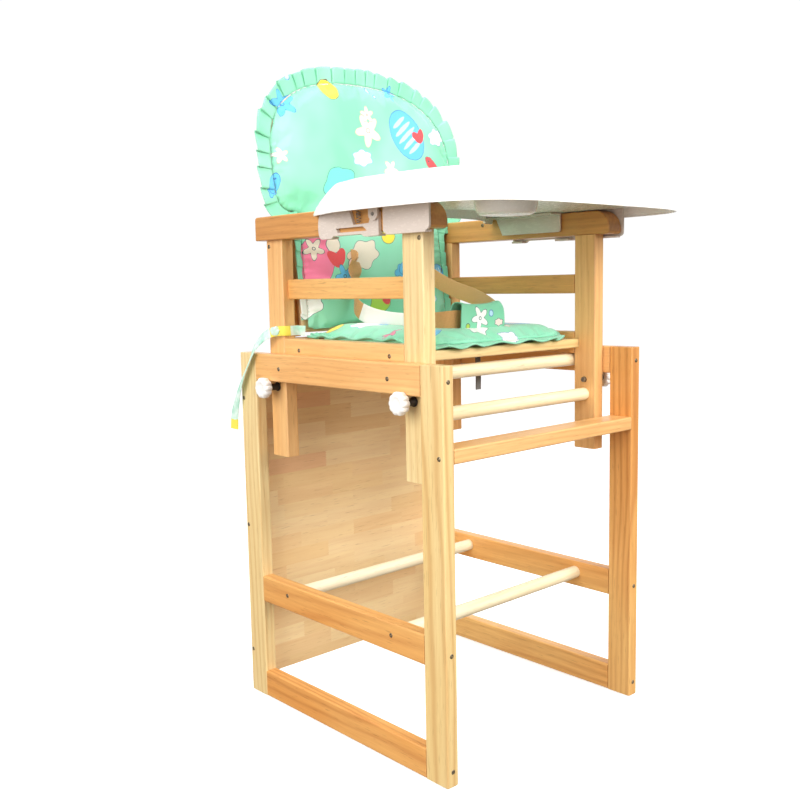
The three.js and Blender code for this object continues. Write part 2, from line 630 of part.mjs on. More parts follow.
// Belt round the child's waist, lying slack: it comes out of the back pad at
// both sides and runs through the sleeve.
function waistBelt() {
  const z = SEAT.bottom + SEAT.thickness + SEAT_PAD.thickness + SLEEVE.height / 2;
  const route = [
    [64, 117, z + 90], [74, 84, z + 64], [80, 40, z + 43], [78, -8, z + 30], [66, -48, z + 19],
    [50, -84, z + 7], [38, -100, z + 1], [SLEEVE.x + 30, SLEEVE.y, z], [SLEEVE.x - 30, SLEEVE.y, z],
    [-66, -99, z], [-75, -80, z - 2], [-70, -40, z - 4], [-66, 10, z - 5], [-80, 56, z + 2],
    [-84, 92, z + 18], [-70, 114, z + 50], [-64, 117, z + 90],
  ];
  return ribbon(route, BELT.width, BELT.thickness, 72);
}

// Loose end of the crotch strap under the seat.
function crotchStrap() {
  const { width, thickness, below } = STRAP;
  const low = [SLEEVE.x - width / 2, SLEEVE.y - thickness / 2, SEAT.bottom - below];
  const high = [SLEEVE.x + width / 2, SLEEVE.y + thickness / 2, SEAT.bottom + SEAT.thickness - FIT];
  return block(low, high);
}

// Ribbon that ties the seat pad to the rear leg and hangs over the base frame.
function padTie() {
  const x = CHAIR_HALF_WIDTH;
  const route = [
    [163, 124, 594], [172, 130, 595], [x - 5, 130, 595], [x + 3, 134, 595], [x + 10, 146, 594],
    [x + 18, 160, 588], [x + 25, 178, 570], [x + 28, 193, 545], [x + 29, 211, 518], [x + 29, 227, 488],
    [x + 29, 237, 460], [x + 29, 240, 436],
  ];
  return ribbon(route, TIE.width, TIE.thickness, 44);
}

function softGoods() {
  const group = new THREE.Group();
  group.add(part('seat_cushion', seatCushion(), mintFabric));
  group.add(part('crotch_sleeve', crotchSleeve(), mintFabric));
  group.add(part('crotch_strap', crotchStrap(), webbing));
  group.add(part('waist_belt', waistBelt(), webbing));
  pair(group, 'pad_tie', padTie(), mintFabric);
  return group;
}

// ---------------------------------------------------------------- assembly
const highChair = new THREE.Group();
highChair.position.y = FRAME_Y;
highChair.add(baseFrame(), chair(), back(), clamps(), tray(), softGoods());

export default highChair;
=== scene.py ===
"""Looks for a wooden convertible high chair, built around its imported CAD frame.

Blender 4.5.  Metres, +Z up, the child looks towards -Y, left is +X.  Timbers, dowels,
guides and levers are the CAD's own solids with softened edges and new materials.  The
tray, knobs, springs, pads, straps and screw heads are finer pieces that stand for theirs.
"""
import math
import random

import bmesh
import bpy
import numpy as np
from mathutils import Matrix, Vector
from mathutils.bvhtree import BVHTree
from mathutils.kdtree import KDTree


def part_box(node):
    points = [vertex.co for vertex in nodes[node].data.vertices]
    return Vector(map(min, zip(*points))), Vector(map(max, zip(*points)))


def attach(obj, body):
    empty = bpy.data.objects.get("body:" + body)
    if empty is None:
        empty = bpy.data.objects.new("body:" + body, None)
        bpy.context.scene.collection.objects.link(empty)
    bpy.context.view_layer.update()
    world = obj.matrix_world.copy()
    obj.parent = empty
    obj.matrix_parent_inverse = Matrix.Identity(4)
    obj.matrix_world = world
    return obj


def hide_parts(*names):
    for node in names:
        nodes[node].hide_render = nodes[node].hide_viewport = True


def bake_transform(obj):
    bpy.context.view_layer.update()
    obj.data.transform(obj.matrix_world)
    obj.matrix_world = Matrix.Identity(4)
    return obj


MM = 0.001
SIDES = (("left", 1), ("right", -1))

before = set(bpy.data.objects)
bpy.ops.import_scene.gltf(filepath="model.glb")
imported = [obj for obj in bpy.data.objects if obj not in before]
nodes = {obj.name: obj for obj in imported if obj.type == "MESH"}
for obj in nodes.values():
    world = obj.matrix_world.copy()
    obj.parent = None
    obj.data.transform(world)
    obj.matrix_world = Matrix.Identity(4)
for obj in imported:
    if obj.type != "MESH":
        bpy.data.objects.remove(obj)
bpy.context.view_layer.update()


# ------------------------------------------------------------------ measures
FRAME_Y = 48.25                 # millimetres from the part's origin to the base frame's middle
RECLINE = math.radians(6.2)
BACK_FOOT = Vector((0, 148 + FRAME_Y, 590)) * MM    # lower edge of the back panel's rear face
PAD_BACK = -9.3 * MM            # rear face of the back cushion in the back's own frame
UPRIGHT_DEPTH = 20              # millimetres that the back's uprights stand behind its panel
LEG_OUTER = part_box("chair_front_leg_left")[1].x
ARM_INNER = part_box("arm_rest_left")[0].x
BASE_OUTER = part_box("base_top_rail_left")[1].x
SEAT_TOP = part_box("seat_board")[1].z
TRAY_LOW, TRAY_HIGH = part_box("tray_shell")
TRAY_HALF = TRAY_HIGH.x / MM

# The tray's plan in millimetres, measured from the chair's middle.
TRAY_FRONT, TRAY_MIDDLE, TRAY_HALF_DEEP = -325, -140, 185
TRAY_SHIFT = TRAY_LOW.y / MM - TRAY_FRONT           # from there to the part's own origin
BELLY_Y, BELLY_RADIUS, BELLY_END = 130, 172, -0.62  # concave edge beside the child
TIP_X, TIP_Y, TIP_RADIUS = 185, -5, 45              # rounded tips at both ends of it
SIDE_Y, SQUARENESS = -60, 4.8                       # superellipse of the sides and front
TRAY_FLOOR = 773
CUP_X, CUP_Y, CUP_FLOOR = -96, -230, 752.5


# ------------------------------------------------------------------ node helpers
class Nodes:
    """Short calls for building one material's node tree."""

    def __init__(self, tree):
        self.tree = tree

    def add(self, kind, inputs=None, **settings):
        node = self.tree.nodes.new(kind)
        for key, value in settings.items():
            setattr(node, key, value)
        for key, value in (inputs or {}).items():
            self.feed(node.inputs[key], value)
        return node

    def feed(self, socket, value):
        if isinstance(value, bpy.types.NodeSocket):
            self.tree.links.new(value, socket)
        elif isinstance(value, bpy.types.Node):
            self.tree.links.new(value.outputs[0], socket)
        else:
            socket.default_value = value

    def math(self, operation, a, b=0.0, c=0.0, clamp=False):
        node = self.add("ShaderNodeMath", operation=operation, use_clamp=clamp)
        for socket, value in zip(node.inputs, (a, b, c)):
            self.feed(socket, value)
        return node.outputs[0]

    def mix(self, share, a, b, blend="MIX"):
        node = self.add("ShaderNodeMix", data_type="RGBA", blend_type=blend)
        self.feed(node.inputs[0], share)
        self.feed(node.inputs[6], a)
        self.feed(node.inputs[7], b)
        return node.outputs[2]

    def ramp(self, value, stops):
        node = self.add("ShaderNodeValToRGB", {0: value})
        points = node.color_ramp.elements
        while len(points) < len(stops):
            points.new(0.5)
        for point, (position, tone) in zip(points, stops):
            point.position = position
            point.color = (*tone, 1)
        return node.outputs[0]

    def span(self, value, low, high, to_low=0.0, to_high=1.0):
        node = self.add("ShaderNodeMapRange", {0: value, 1: low, 2: high, 3: to_low, 4: to_high})
        return node.outputs[0]

    def noise(self, vector, scale, detail=4.0, roughness=0.5):
        inputs = {"Vector": vector, "Scale": scale, "Detail": detail, "Roughness": roughness}
        return self.add("ShaderNodeTexNoise", inputs).outputs[0]

    def object_place(self):
        return self.add("ShaderNodeTexCoord").outputs["Object"]

    def moved(self, vector, place=(0, 0, 0), scale=(1, 1, 1), turn=(0, 0, 0)):
        inputs = {"Vector": vector, "Location": place, "Scale": scale, "Rotation": turn}
        return self.add("ShaderNodeMapping", inputs).outputs[0]


def material(name, roughness=0.5, metallic=0.0, **sockets):
    """A new material; uniform values sit on the shader's own sockets."""
    made = bpy.data.materials.new(name)
    made.use_nodes = True
    shader = made.node_tree.nodes["Principled BSDF"]
    shader.inputs["Roughness"].default_value = roughness
    shader.inputs["Metallic"].default_value = metallic
    for key, value in sockets.items():
        shader.inputs[key.replace("_", " ")].default_value = value
    return made, Nodes(made.node_tree), shader


def colour(red, green, blue):
    """A display colour from 0 to 255 as the shader's linear one."""
    def linear(value):
        value /= 255
        return value / 12.92 if value <= 0.04045 else ((value + 0.055) / 1.055) ** 2.4
    return (linear(red), linear(green), linear(blue))


def opaque(rgb):
    return (*rgb, 1)


# ------------------------------------------------------------------ materials
PINE_TONES = {
    "honey": (colour(248, 204, 130), colour(232, 162, 84), colour(190, 116, 54)),
    "straw": (colour(247, 229, 178), colour(238, 207, 142), colour(208, 160, 98)),
    "peach": (colour(250, 206, 142), colour(238, 178, 108), colour(204, 136, 76)),
    # This tone is darker partly as painted shade: it stands for the tray's shadow on the arm rests and the
    # left side slat.
    "amber_painted_shade": (colour(226, 168, 98), colour(206, 138, 70), colour(160, 98, 46)),
    "cream": (colour(254, 246, 218), colour(250, 236, 196), colour(226, 198, 146)),
}


def pine(name, grain, seed, tone="honey", lines=1.0):
    """Varnished pine: grain is the axis that its fibres follow."""
    made, n, shader = material(name, roughness=0.42, Coat_Weight=0.28, Coat_Roughness=0.22)
    pale, mid, late = PINE_TONES[tone]
    rng = random.Random(seed)
    start = [rng.uniform(-3, 3) for _ in range(3)]
    place = n.moved(n.object_place(), place=start)
    along = {"x": (1, 0, 0), "y": (0, 1, 0), "z": (0, 0, 1)}[grain]
    across = [1.0 - 0.955 * a for a in along]
    fibres = n.moved(place, scale=across)
    # Growth rings: distance from a pith line that lies outside the board, bent by slow noise.
    bend = n.noise(n.moved(place, scale=[1 - 0.78 * a for a in along]), 9, 2)
    flat = n.moved(place, scale=[1.0 - a for a in along],
                   place=[rng.uniform(-0.05, 0.05) for _ in range(3)])
    ring = n.add("ShaderNodeTexWave", {"Vector": flat, "Scale": rng.uniform(24, 46), "Distortion": 0.0,
                                       "Detail": 0.0}, wave_type="RINGS", rings_direction=grain.upper())
    n.feed(ring.inputs["Phase Offset"], n.math("MULTIPLY", bend, 26.0))
    late_wood = n.math("POWER", ring.outputs["Fac"], 2.6)
    streaks = n.noise(fibres, 260, 5, 0.62)
    blotch = n.noise(n.moved(place, scale=[1 - 0.8 * a for a in along]), 7.5, 3, 0.5)
    base = n.ramp(blotch, [(0.32, pale), (0.66, mid)])
    strength = n.span(blotch, 0.35, 0.6, 0.18 * lines, 0.62 * lines)
    lined = n.mix(n.math("MULTIPLY", late_wood, strength, clamp=True), base, opaque(late))
    fine = n.span(streaks, 0.35, 0.72, 0.0, 0.34)
    streaked = n.mix(fine, lined, opaque(late))
    # Small resin flecks and pores drawn out along the fibres.
    pores = n.noise(fibres, 900, 1, 0.4)
    pored = n.mix(n.span(pores, 0.66, 0.76, 0.0, 0.45), streaked, opaque(tuple(c * 0.55 for c in late)))
    # End grain is darker.  The long rounded edges are painted paler: partly rubbed finish, partly a painted
    # highlight where they catch the light.
    normal = n.add("ShaderNodeNewGeometry").outputs["Normal"]
    split = n.add("ShaderNodeSeparateXYZ", {0: normal}).outputs["XYZ".index(grain.upper())]
    end = n.span(n.math("ABSOLUTE", split), 0.9, 0.97)
    ended = n.mix(n.math("MULTIPLY", end, 0.45), pored, opaque(late))
    bevel = n.add("ShaderNodeBevel", {"Radius": 0.0022}, samples=4)
    turn = n.add("ShaderNodeVectorMath", {0: bevel.outputs[0], 1: normal}, operation="DOT_PRODUCT")
    wear_and_highlight = n.math("MULTIPLY", n.span(turn.outputs["Value"], 0.995, 0.86), n.span(blotch, 0.3, 0.6, 0.25, 0.8))
    finished = n.mix(n.math("MULTIPLY", wear_and_highlight, 0.5), ended, opaque(pale))
    n.feed(shader.inputs["Base Color"], finished)
    n.feed(shader.inputs["Roughness"], n.span(streaks, 0.3, 0.7, 0.34, 0.5))
    height = n.math("ADD", n.math("MULTIPLY", streaks, 0.6), n.math("MULTIPLY", late_wood, 0.4))
    bump = n.add("ShaderNodeBump", {"Strength": 0.22, "Distance": 0.0006, "Height": height})
    n.feed(shader.inputs["Normal"], bump.outputs[0])
    n.feed(shader.inputs["Coat Normal"], n.add("ShaderNodeBump", {"Strength": 0.08, "Distance": 0.0005,
                                                                  "Height": height}).outputs[0])
    return made


def finger_board(name, seed):
    """Edge-glued board of short finger-jointed strips, a few of them pinkish."""
    made, n, shader = material(name, roughness=0.46, Coat_Weight=0.2, Coat_Roughness=0.28)
    place = n.object_place()
    split = n.add("ShaderNodeSeparateXYZ", {0: place})
    x, z = split.outputs["X"], split.outputs["Z"]
    jagged = n.math("ADD", n.math("MULTIPLY", n.math("PINGPONG", z, 0.0021), 0.9), x)
    flat = n.add("ShaderNodeCombineXYZ", {0: n.math("ADD", jagged, 0.006 * (seed % 7)),
                                          1: n.math("ADD", z, 0.012), 2: 0.0})
    brick = n.add("ShaderNodeTexBrick", {"Vector": flat, "Color1": (0, 0, 0, 1), "Color2": (1, 1, 1, 1),
                                         "Mortar": (0.5, 0.5, 0.5, 1), "Scale": 1.0, "Mortar Size": 0.0,
                                         "Brick Width": 0.148, "Row Height": 0.0262}, offset=0.39,
                  offset_frequency=2, squash=0.78, squash_frequency=3)
    pick = n.add("ShaderNodeSeparateColor", {0: brick.outputs["Color"]}).outputs[0]
    tones = [(0.0, colour(246, 220, 170)), (0.14, colour(240, 208, 154)), (0.3, colour(247, 222, 174)),
             (0.46, colour(241, 208, 156)), (0.62, colour(244, 216, 165)), (0.8, colour(240, 208, 157)),
             (0.925, colour(240, 196, 150)), (0.95, colour(244, 216, 166))]
    base = n.ramp(pick, tones)
    base.node.color_ramp.interpolation = "CONSTANT"
    shift = n.add("ShaderNodeCombineXYZ", {0: n.math("MULTIPLY", pick, 7.0), 1: 0.0,
                                           2: n.math("MULTIPLY", pick, 13.0)})
    own = n.add("ShaderNodeVectorMath", {0: place, 1: shift.outputs[0]}, operation="ADD").outputs[0]
    fibres = n.moved(own, scale=(0.06, 1, 1))
    streaks = n.noise(fibres, 150, 5, 0.6)
    broad = n.noise(n.moved(own, scale=(0.16, 1, 1)), 26, 3, 0.5)
    dark = opaque(colour(218, 170, 118))
    toned = n.mix(n.span(broad, 0.42, 0.72, 0.0, 0.28), base, dark)
    streaked = n.mix(n.span(streaks, 0.42, 0.74, 0.0, 0.3), toned, dark)
    pores = n.span(n.noise(fibres, 700, 1), 0.66, 0.78, 0.0, 0.35)
    n.feed(shader.inputs["Base Color"], n.mix(pores, streaked, opaque(colour(150, 100, 62))))
    n.feed(shader.inputs["Roughness"], n.span(streaks, 0.3, 0.7, 0.4, 0.56))
    bump = n.add("ShaderNodeBump", {"Strength": 0.2, "Distance": 0.0005, "Height": streaks})
    n.feed(shader.inputs["Normal"], bump.outputs[0])
    return made


def white_plastic(name, fresh=colour(250, 249, 247), aged=colour(243, 240, 236)):
    """Glossy moulded white plastic with a faint orange-peel surface and handling marks."""
    made, n, shader = material(name, roughness=0.26, Coat_Weight=0.15, Coat_Roughness=0.1)
    place = n.object_place()
    cloud = n.noise(place, 14, 3)
    base = n.mix(n.span(cloud, 0.35, 0.7, 0.0, 0.5), opaque(fresh), opaque(aged))
    scuffs = n.noise(n.moved(place, scale=(1, 0.3, 1), turn=(0, 0, 0.6)), 300, 2, 0.6)
    marked = n.mix(n.span(scuffs, 0.7, 0.8, 0.0, 0.06), base, opaque(colour(214, 208, 200)))
    n.feed(shader.inputs["Base Color"], marked)
    n.feed(shader.inputs["Roughness"], n.span(scuffs, 0.4, 0.75, 0.24, 0.31))
    height = n.math("ADD", n.math("MULTIPLY", n.noise(place, 620, 2), 0.5), n.math("MULTIPLY", cloud, 0.5))
    bump = n.add("ShaderNodeBump", {"Strength": 0.06, "Distance": 0.0005, "Height": height})
    n.feed(shader.inputs["Normal"], bump.outputs[0])
    return made


def steel(name, rgb, roughness=0.34):
    """Plated steel with fine turning marks and dull patches."""
    made, n, shader = material(name, roughness=roughness, metallic=1.0)
    place = n.object_place()
    patches = n.noise(place, 180, 4, 0.6)
    dark = tuple(c * 0.55 for c in rgb)
    n.feed(shader.inputs["Base Color"], n.mix(n.span(patches, 0.4, 0.68), opaque(rgb), opaque(dark)))
    n.feed(shader.inputs["Roughness"], n.span(patches, 0.3, 0.7, roughness - 0.1, roughness + 0.16))
    bump = n.add("ShaderNodeBump", {"Strength": 0.15, "Distance": 0.0003, "Height": n.noise(place, 1400, 2)})
    n.feed(shader.inputs["Normal"], bump.outputs[0])
    return made


def webbing(name, warp, weft):
    """Flat woven tape: ribs across its width, read from the tape's own UVs in metres."""
    made, n, shader = material(name, roughness=0.82, Sheen_Weight=0.25, Sheen_Roughness=0.5)
    uv = n.add("ShaderNodeUVMap", uv_map="tape").outputs[0]
    split = n.add("ShaderNodeSeparateXYZ", {0: uv})
    u, v = split.outputs["X"], split.outputs["Y"]
    rib = n.math("SINE", n.math("MULTIPLY", u, 2 * math.pi / 0.0019))
    cord = n.math("SINE", n.math("MULTIPLY", v, 2 * math.pi / 0.0012))
    weave = n.math("MULTIPLY", n.math("ADD", rib, n.math("MULTIPLY", cord, rib)), 0.5)
    fuzz = n.noise(n.moved(uv, scale=(900, 900, 1)), 1, 3)
    tint = n.mix(n.span(weave, -0.6, 0.8), opaque(weft), opaque(warp))
    faded = n.mix(n.span(fuzz, 0.4, 0.75, 0.0, 0.35), tint, opaque(tuple(min(1, c * 1.35) for c in warp)))
    n.feed(shader.inputs["Base Color"], faded)
    height = n.math("ADD", weave, n.math("MULTIPLY", fuzz, 0.5))
    bump = n.add("ShaderNodeBump", {"Strength": 0.7, "Distance": 0.0004, "Height": height})
    n.feed(shader.inputs["Normal"], bump.outputs[0])
    return made


# ------------------------------------------------------------------ printed cotton
MINT = colour(128, 212, 173)
MINT_PALE = colour(155, 223, 195)
INK = colour(58, 84, 96)


def motif_group():
    """A soft-edged lobed blob: round, cloud, star or petal by its lobe count and depth.
    Its fill is 1 inside, and its line is 1 along the drawn outline."""
    tree = bpy.data.node_groups.new("print_motif", "ShaderNodeTree")
    face = tree.interface
    face.new_socket("Place", in_out="INPUT", socket_type="NodeSocketVector")
    for label in ("X", "Y", "Turn", "Width", "Tall", "Lobes", "Depth", "Line Width"):
        face.new_socket(label, in_out="INPUT", socket_type="NodeSocketFloat")
    face.new_socket("Fill", in_out="OUTPUT", socket_type="NodeSocketFloat")
    face.new_socket("Line", in_out="OUTPUT", socket_type="NodeSocketFloat")
    n = Nodes(tree)
    given = n.add("NodeGroupInput").outputs
    split = n.add("ShaderNodeSeparateXYZ", {0: given["Place"]})
    x = n.math("SUBTRACT", split.outputs[0], given["X"])
    y = n.math("SUBTRACT", split.outputs[1], given["Y"])
    sine, cosine = n.math("SINE", given["Turn"]), n.math("COSINE", given["Turn"])
    a = n.math("ADD", n.math("MULTIPLY", x, cosine), n.math("MULTIPLY", y, sine))
    b = n.math("SUBTRACT", n.math("MULTIPLY", y, cosine), n.math("MULTIPLY", x, sine))
    a, b = n.math("DIVIDE", a, given["Width"]), n.math("DIVIDE", b, given["Tall"])
    radius = n.math("SQRT", n.math("ADD", n.math("MULTIPLY", a, a), n.math("MULTIPLY", b, b)))
    angle = n.math("ARCTAN2", a, b)
    wave = n.math("COSINE", n.math("MULTIPLY", angle, given["Lobes"]))
    edge = n.math("MULTIPLY_ADD", wave, given["Depth"], 1.0)
    inside = n.math("MULTIPLY", n.math("SUBTRACT", edge, radius), given["Width"])
    soft = 0.0003
    fill = n.span(inside, 0.0, soft)
    line = n.math("SUBTRACT", fill, n.span(n.math("SUBTRACT", inside, given["Line Width"]), 0.0, soft))
    out = n.add("NodeGroupOutput")
    n.feed(out.inputs["Fill"], fill)
    n.feed(out.inputs["Line"], line)
    return tree


MOTIF = motif_group()
WHITE, PALE_PINK, BLUSH = colour(250, 250, 248), colour(248, 222, 216), colour(234, 146, 136)
SKY, DEEP_BLUE, PALE_BLUE = colour(96, 190, 238), colour(52, 104, 190), colour(190, 228, 250)
LEMON, LEAF = colour(250, 224, 62), colour(176, 210, 72)
CORAL, ROSE = colour(232, 62, 74), colour(246, 120, 160)
TEAL, SAND, BROWN = colour(112, 226, 204), colour(236, 220, 204), colour(120, 64, 52)


def star(x, y, size, fill, line=INK, turn=0.0):
    """A plump five-armed starfish with a small ring in its middle."""
    return [(x, y, turn, size, size, 5, 0.34, fill, line),
            (x, y, 0.0, size * 0.22, size * 0.22, 0, 0.0, fill, line)]


def cloud(x, y, wide, fill, line=INK, turn=0.0, lobes=6):
    return [(x, y, turn, wide, wide * 0.66, lobes, 0.11, fill, line)]


def fish(x, y, long, fill, line=INK, turn=0.0):
    """A round-nosed fish: its tail is a three-lobed leaf behind an oval body."""
    back = (x - math.cos(turn) * long * 0.95, y - math.sin(turn) * long * 0.95)
    eye = (x + math.cos(turn) * long * 0.45, y + math.sin(turn) * long * 0.45)
    return [(*back, turn + math.pi / 2, long * 0.42, long * 0.42, 3, 0.3, fill, line),
            (x, y, turn, long, long * 0.52, 0, 0.0, fill, line),
            (*eye, 0.0, long * 0.11, long * 0.11, 0, 0.0, line, line)]


def lemon(x, y, wide, turn=0.0):
    """A yellow fruit with a brown leaf."""
    top = (x - math.sin(turn) * wide * 0.8 - wide * 0.5, y + math.cos(turn) * wide * 0.72)
    return [(*top, turn + 0.9, wide * 0.42, wide * 0.2, 2, 0.1, BROWN, BROWN),
            (x, y, turn, wide, wide * 0.72, 2, 0.1, LEMON, INK)]


def striped_shell(x, y, wide, turn=0.0):
    """A blue oval crossed by paler bands."""
    bands = []
    for along, share in ((-0.56, 0.62), (-0.28, 0.82), (0.0, 0.9), (0.28, 0.82), (0.56, 0.62)):
        middle = (x + math.cos(turn) * wide * along, y + math.sin(turn) * wide * along)
        bands.append((*middle, turn, wide * 0.085, wide * 0.62 * share, 0, 0.0, PALE_BLUE, PALE_BLUE))
    return [(x, y, turn, wide, wide * 0.74, 0, 0.0, SKY, DEEP_BLUE), *bands]


def bubble(x, y, size, fill=PALE_BLUE, line=DEEP_BLUE):
    return [(x, y, 0.0, size, size, 0, 0.0, fill, line)]


def heart(x, y, size, fill=CORAL, turn=0.0):
    """Two leaning ovals make a heart."""
    lobes = []
    for side in (-1, 1):
        middle = (x + side * size * 0.34 * math.cos(turn), y + side * size * 0.34 * math.sin(turn))
        lobes.append((*middle, turn - side * 0.62, size * 0.56, size, 0, 0.0, fill, fill))
    return lobes


def printed_cotton(name, across, up, motifs):
    """Printed cotton.  across and up are the object-space axes that the print runs along."""
    made, n, shader = material(name, roughness=0.72, Sheen_Weight=0.3, Sheen_Roughness=0.45)
    place = n.object_place()
    on_x = n.add("ShaderNodeVectorMath", {0: place, 1: across}, operation="DOT_PRODUCT").outputs["Value"]
    on_y = n.add("ShaderNodeVectorMath", {0: place, 1: up}, operation="DOT_PRODUCT").outputs["Value"]
    flat = n.add("ShaderNodeCombineXYZ", {0: on_x, 1: on_y}).outputs[0]
    wobble = n.add("ShaderNodeVectorMath", {0: n.add("ShaderNodeTexNoise", {"Vector": flat, "Scale": 95.0,
                                                                           "Detail": 1.0}).outputs["Color"],
                                            1: (0.5, 0.5, 0.5)}, operation="SUBTRACT")
    shaken = n.add("ShaderNodeVectorMath", {0: wobble.outputs[0], 1: (0.0026, 0.0026, 0.0), 2: flat},
                   operation="MULTIPLY_ADD").outputs[0]
    tone = n.noise(flat, 9, 2)
    shade = n.mix(n.span(tone, 0.35, 0.68), opaque(MINT), opaque(MINT_PALE))
    for x, y, turn, wide, tall, lobes, depth, fill, line in motifs:
        group = n.add("ShaderNodeGroup", node_tree=MOTIF)
        given = {"Place": shaken, "X": x * MM, "Y": y * MM, "Turn": turn, "Width": wide * MM,
                 "Tall": tall * MM, "Lobes": float(lobes), "Depth": depth, "Line Width": 0.0011}
        for key, value in given.items():
            n.feed(group.inputs[key], value)
        shade = n.mix(group.outputs["Fill"], shade, opaque(fill))
        shade = n.mix(group.outputs["Line"], shade, opaque(line))
    # Plain weave: two crossed thread directions about half a millimetre apart.
    pitch = 2 * math.pi / 0.00055
    warp = n.math("SINE", n.math("MULTIPLY", on_x, pitch))
    weft = n.math("SINE", n.math("MULTIPLY", on_y, pitch))
    weave = n.math("MULTIPLY", warp, weft)
    thread = n.mix(n.span(weave, -1.0, 1.0, 0.0, 0.10), shade, opaque(tuple(c * 0.72 for c in MINT)))
    n.feed(shader.inputs["Base Color"], thread)
    creases = n.noise(flat, 60, 4, 0.6)
    height = n.math("ADD", n.math("MULTIPLY", weave, 0.25), creases)
    bump = n.add("ShaderNodeBump", {"Strength": 0.25, "Distance": 0.0008, "Height": height})
    n.feed(shader.inputs["Normal"], bump.outputs[0])
    return made


# ------------------------------------------------------------------ mesh helpers
def mesh_piece(name, points, faces, surface):
    mesh = bpy.data.meshes.new(name)
    mesh.from_pydata([tuple(p) for p in points], [], faces)
    mesh.validate()
    mesh.materials.append(surface)
    mesh.polygons.foreach_set("use_smooth", [True] * len(mesh.polygons))
    made = bpy.data.objects.new(name, mesh)
    bpy.context.scene.collection.objects.link(made)
    return made


def rings_to_faces(count, around, start=0, closed=True):
    """Faces that join rings of points, each with the same number of points."""
    faces = []
    steps = around if closed else around - 1
    for ring in range(count - 1):
        low = start + ring * around
        for i in range(steps):
            j = (i + 1) % around
            faces.append((low + i, low + j, low + around + j, low + around + i))
    return faces


def smooth_line(points, count):
    """Points evenly spaced along a Catmull-Rom curve through the given ones."""
    given = [Vector(p) for p in points]
    given = [2 * given[0] - given[1], *given, 2 * given[-1] - given[-2]]
    fine = []
    for a, b, c, d in zip(given, given[1:], given[2:], given[3:]):
        for step in range(24):
            t = step / 24
            fine.append(0.5 * (2 * b + (c - a) * t + (2 * a - 5 * b + 4 * c - d) * t * t
                               + (3 * b - a - 3 * c + d) * t ** 3))
    fine.append(given[-2])
    along = [0.0]
    for a, b in zip(fine, fine[1:]):
        along.append(along[-1] + (b - a).length)
    wanted = np.linspace(0, along[-1], count)
    return [Vector(p) for p in zip(*(np.interp(wanted, along, [q[k] for q in fine]) for k in range(3)))]


def mark_sharp(piece, degrees):
    """Keeps edges sharper than this angle crisp under smooth shading."""
    work = bmesh.new()
    work.from_mesh(piece.data)
    limit = math.radians(degrees)
    for edge in work.edges:
        if len(edge.link_faces) == 2 and edge.calc_face_angle(0) > limit:
            edge.smooth = False
    work.to_mesh(piece.data)
    work.free()


def apply_modifiers(piece):
    """Turns a piece's modifiers into its own mesh."""
    graph = bpy.context.evaluated_depsgraph_get()
    graph.update()
    result = bpy.data.meshes.new_from_object(piece.evaluated_get(graph))
    piece.modifiers.clear()
    piece.data = result


def soften_cad(node, width, segments=2, degrees=35):
    """Rounds the hard edges of a CAD node that stays, with modifiers only."""
    thing = nodes[node]
    weld = thing.modifiers.new("weld", "WELD")
    weld.merge_threshold = 0.00001
    flatten = thing.modifiers.new("flatten", "DECIMATE")
    flatten.decimate_type = "DISSOLVE"
    flatten.angle_limit = math.radians(0.5)
    bevel = thing.modifiers.new("round", "BEVEL")
    bevel.width = width
    bevel.segments = segments
    bevel.limit_method = "ANGLE"
    bevel.angle_limit = math.radians(degrees)
    bevel.use_clamp_overlap = True
    thing.data.polygons.foreach_set("use_smooth", [True] * len(thing.data.polygons))
    weighted = thing.modifiers.new("weighted", "WEIGHTED_NORMAL")
    weighted.keep_sharp = False
    weighted.weight = 100


def paint_cad(node, surface):
    thing = nodes[node]
    thing.data.materials.clear()
    thing.data.materials.append(surface)


# ------------------------------------------------------------------ camera, lights, floor
def look(yaw, pitch, roll):
    """Camera turn from its heading from +X towards +Y, its tilt and its roll."""
    ahead = Vector((math.cos(pitch) * math.cos(yaw), math.cos(pitch) * math.sin(yaw), math.sin(pitch)))
    side = ahead.cross(Vector((0, 0, 1))).normalized()
    up = side.cross(ahead)
    turned_side = math.cos(roll) * side + math.sin(roll) * up
    turned_up = math.cos(roll) * up - math.sin(roll) * side
    return Matrix((turned_side, turned_up, -ahead)).transposed().to_4x4()


def camera():
    data = bpy.data.cameras.new("camera")
    data.lens = 43.39
    data.sensor_width = 36
    data.clip_start = 0.05
    made = bpy.data.objects.new("camera", data)
    turn = look(math.radians(47.704), math.radians(-6.867), math.radians(-1.098))
    made.matrix_world = Matrix.Translation((-1.06278, -1.03165, 0.66323)) @ turn
    bpy.context.scene.collection.objects.link(made)
    bpy.context.scene.camera = made


def area_light(name, place, target, size, power, tint=(1, 1, 1)):
    data = bpy.data.lights.new(name, "AREA")
    data.size = size
    data.energy = power
    data.color = tint
    made = bpy.data.objects.new(name, data)
    made.location = place
    made.rotation_euler = (Vector(target) - Vector(place)).to_track_quat("-Z", "Y").to_euler()
    bpy.context.scene.collection.objects.link(made)


def studio_world():
    """Plain white to the eye.  What lights the object is a bright backdrop behind it and
    a dim warm room elsewhere."""
    world = bpy.data.worlds.new("studio")
    bpy.context.scene.world = world
    world.use_nodes = True
    n = Nodes(world.node_tree)
    way = n.add("ShaderNodeTexCoord").outputs["Generated"]
    backdrop = (0.6682, 0.7344, -0.1196)
    facing = n.add("ShaderNodeVectorMath", {0: way, 1: backdrop}, operation="DOT_PRODUCT").outputs["Value"]
    height = n.add("ShaderNodeSeparateXYZ", {0: way}).outputs["Z"]
    room = n.mix(n.span(height, -0.12, 0.12), (0.26, 0.22, 0.18, 1), (0.55, 0.55, 0.55, 1))
    white = (1.03, 1.03, 1.03, 1)
    lit = n.mix(n.span(facing, 0.70, 0.845), room, white)
    seen = n.add("ShaderNodeLightPath").outputs["Is Camera Ray"]
    n.feed(world.node_tree.nodes["Background"].inputs[0], n.mix(seen, lit, white))
    world.node_tree.nodes["Background"].inputs[1].default_value = 1.0


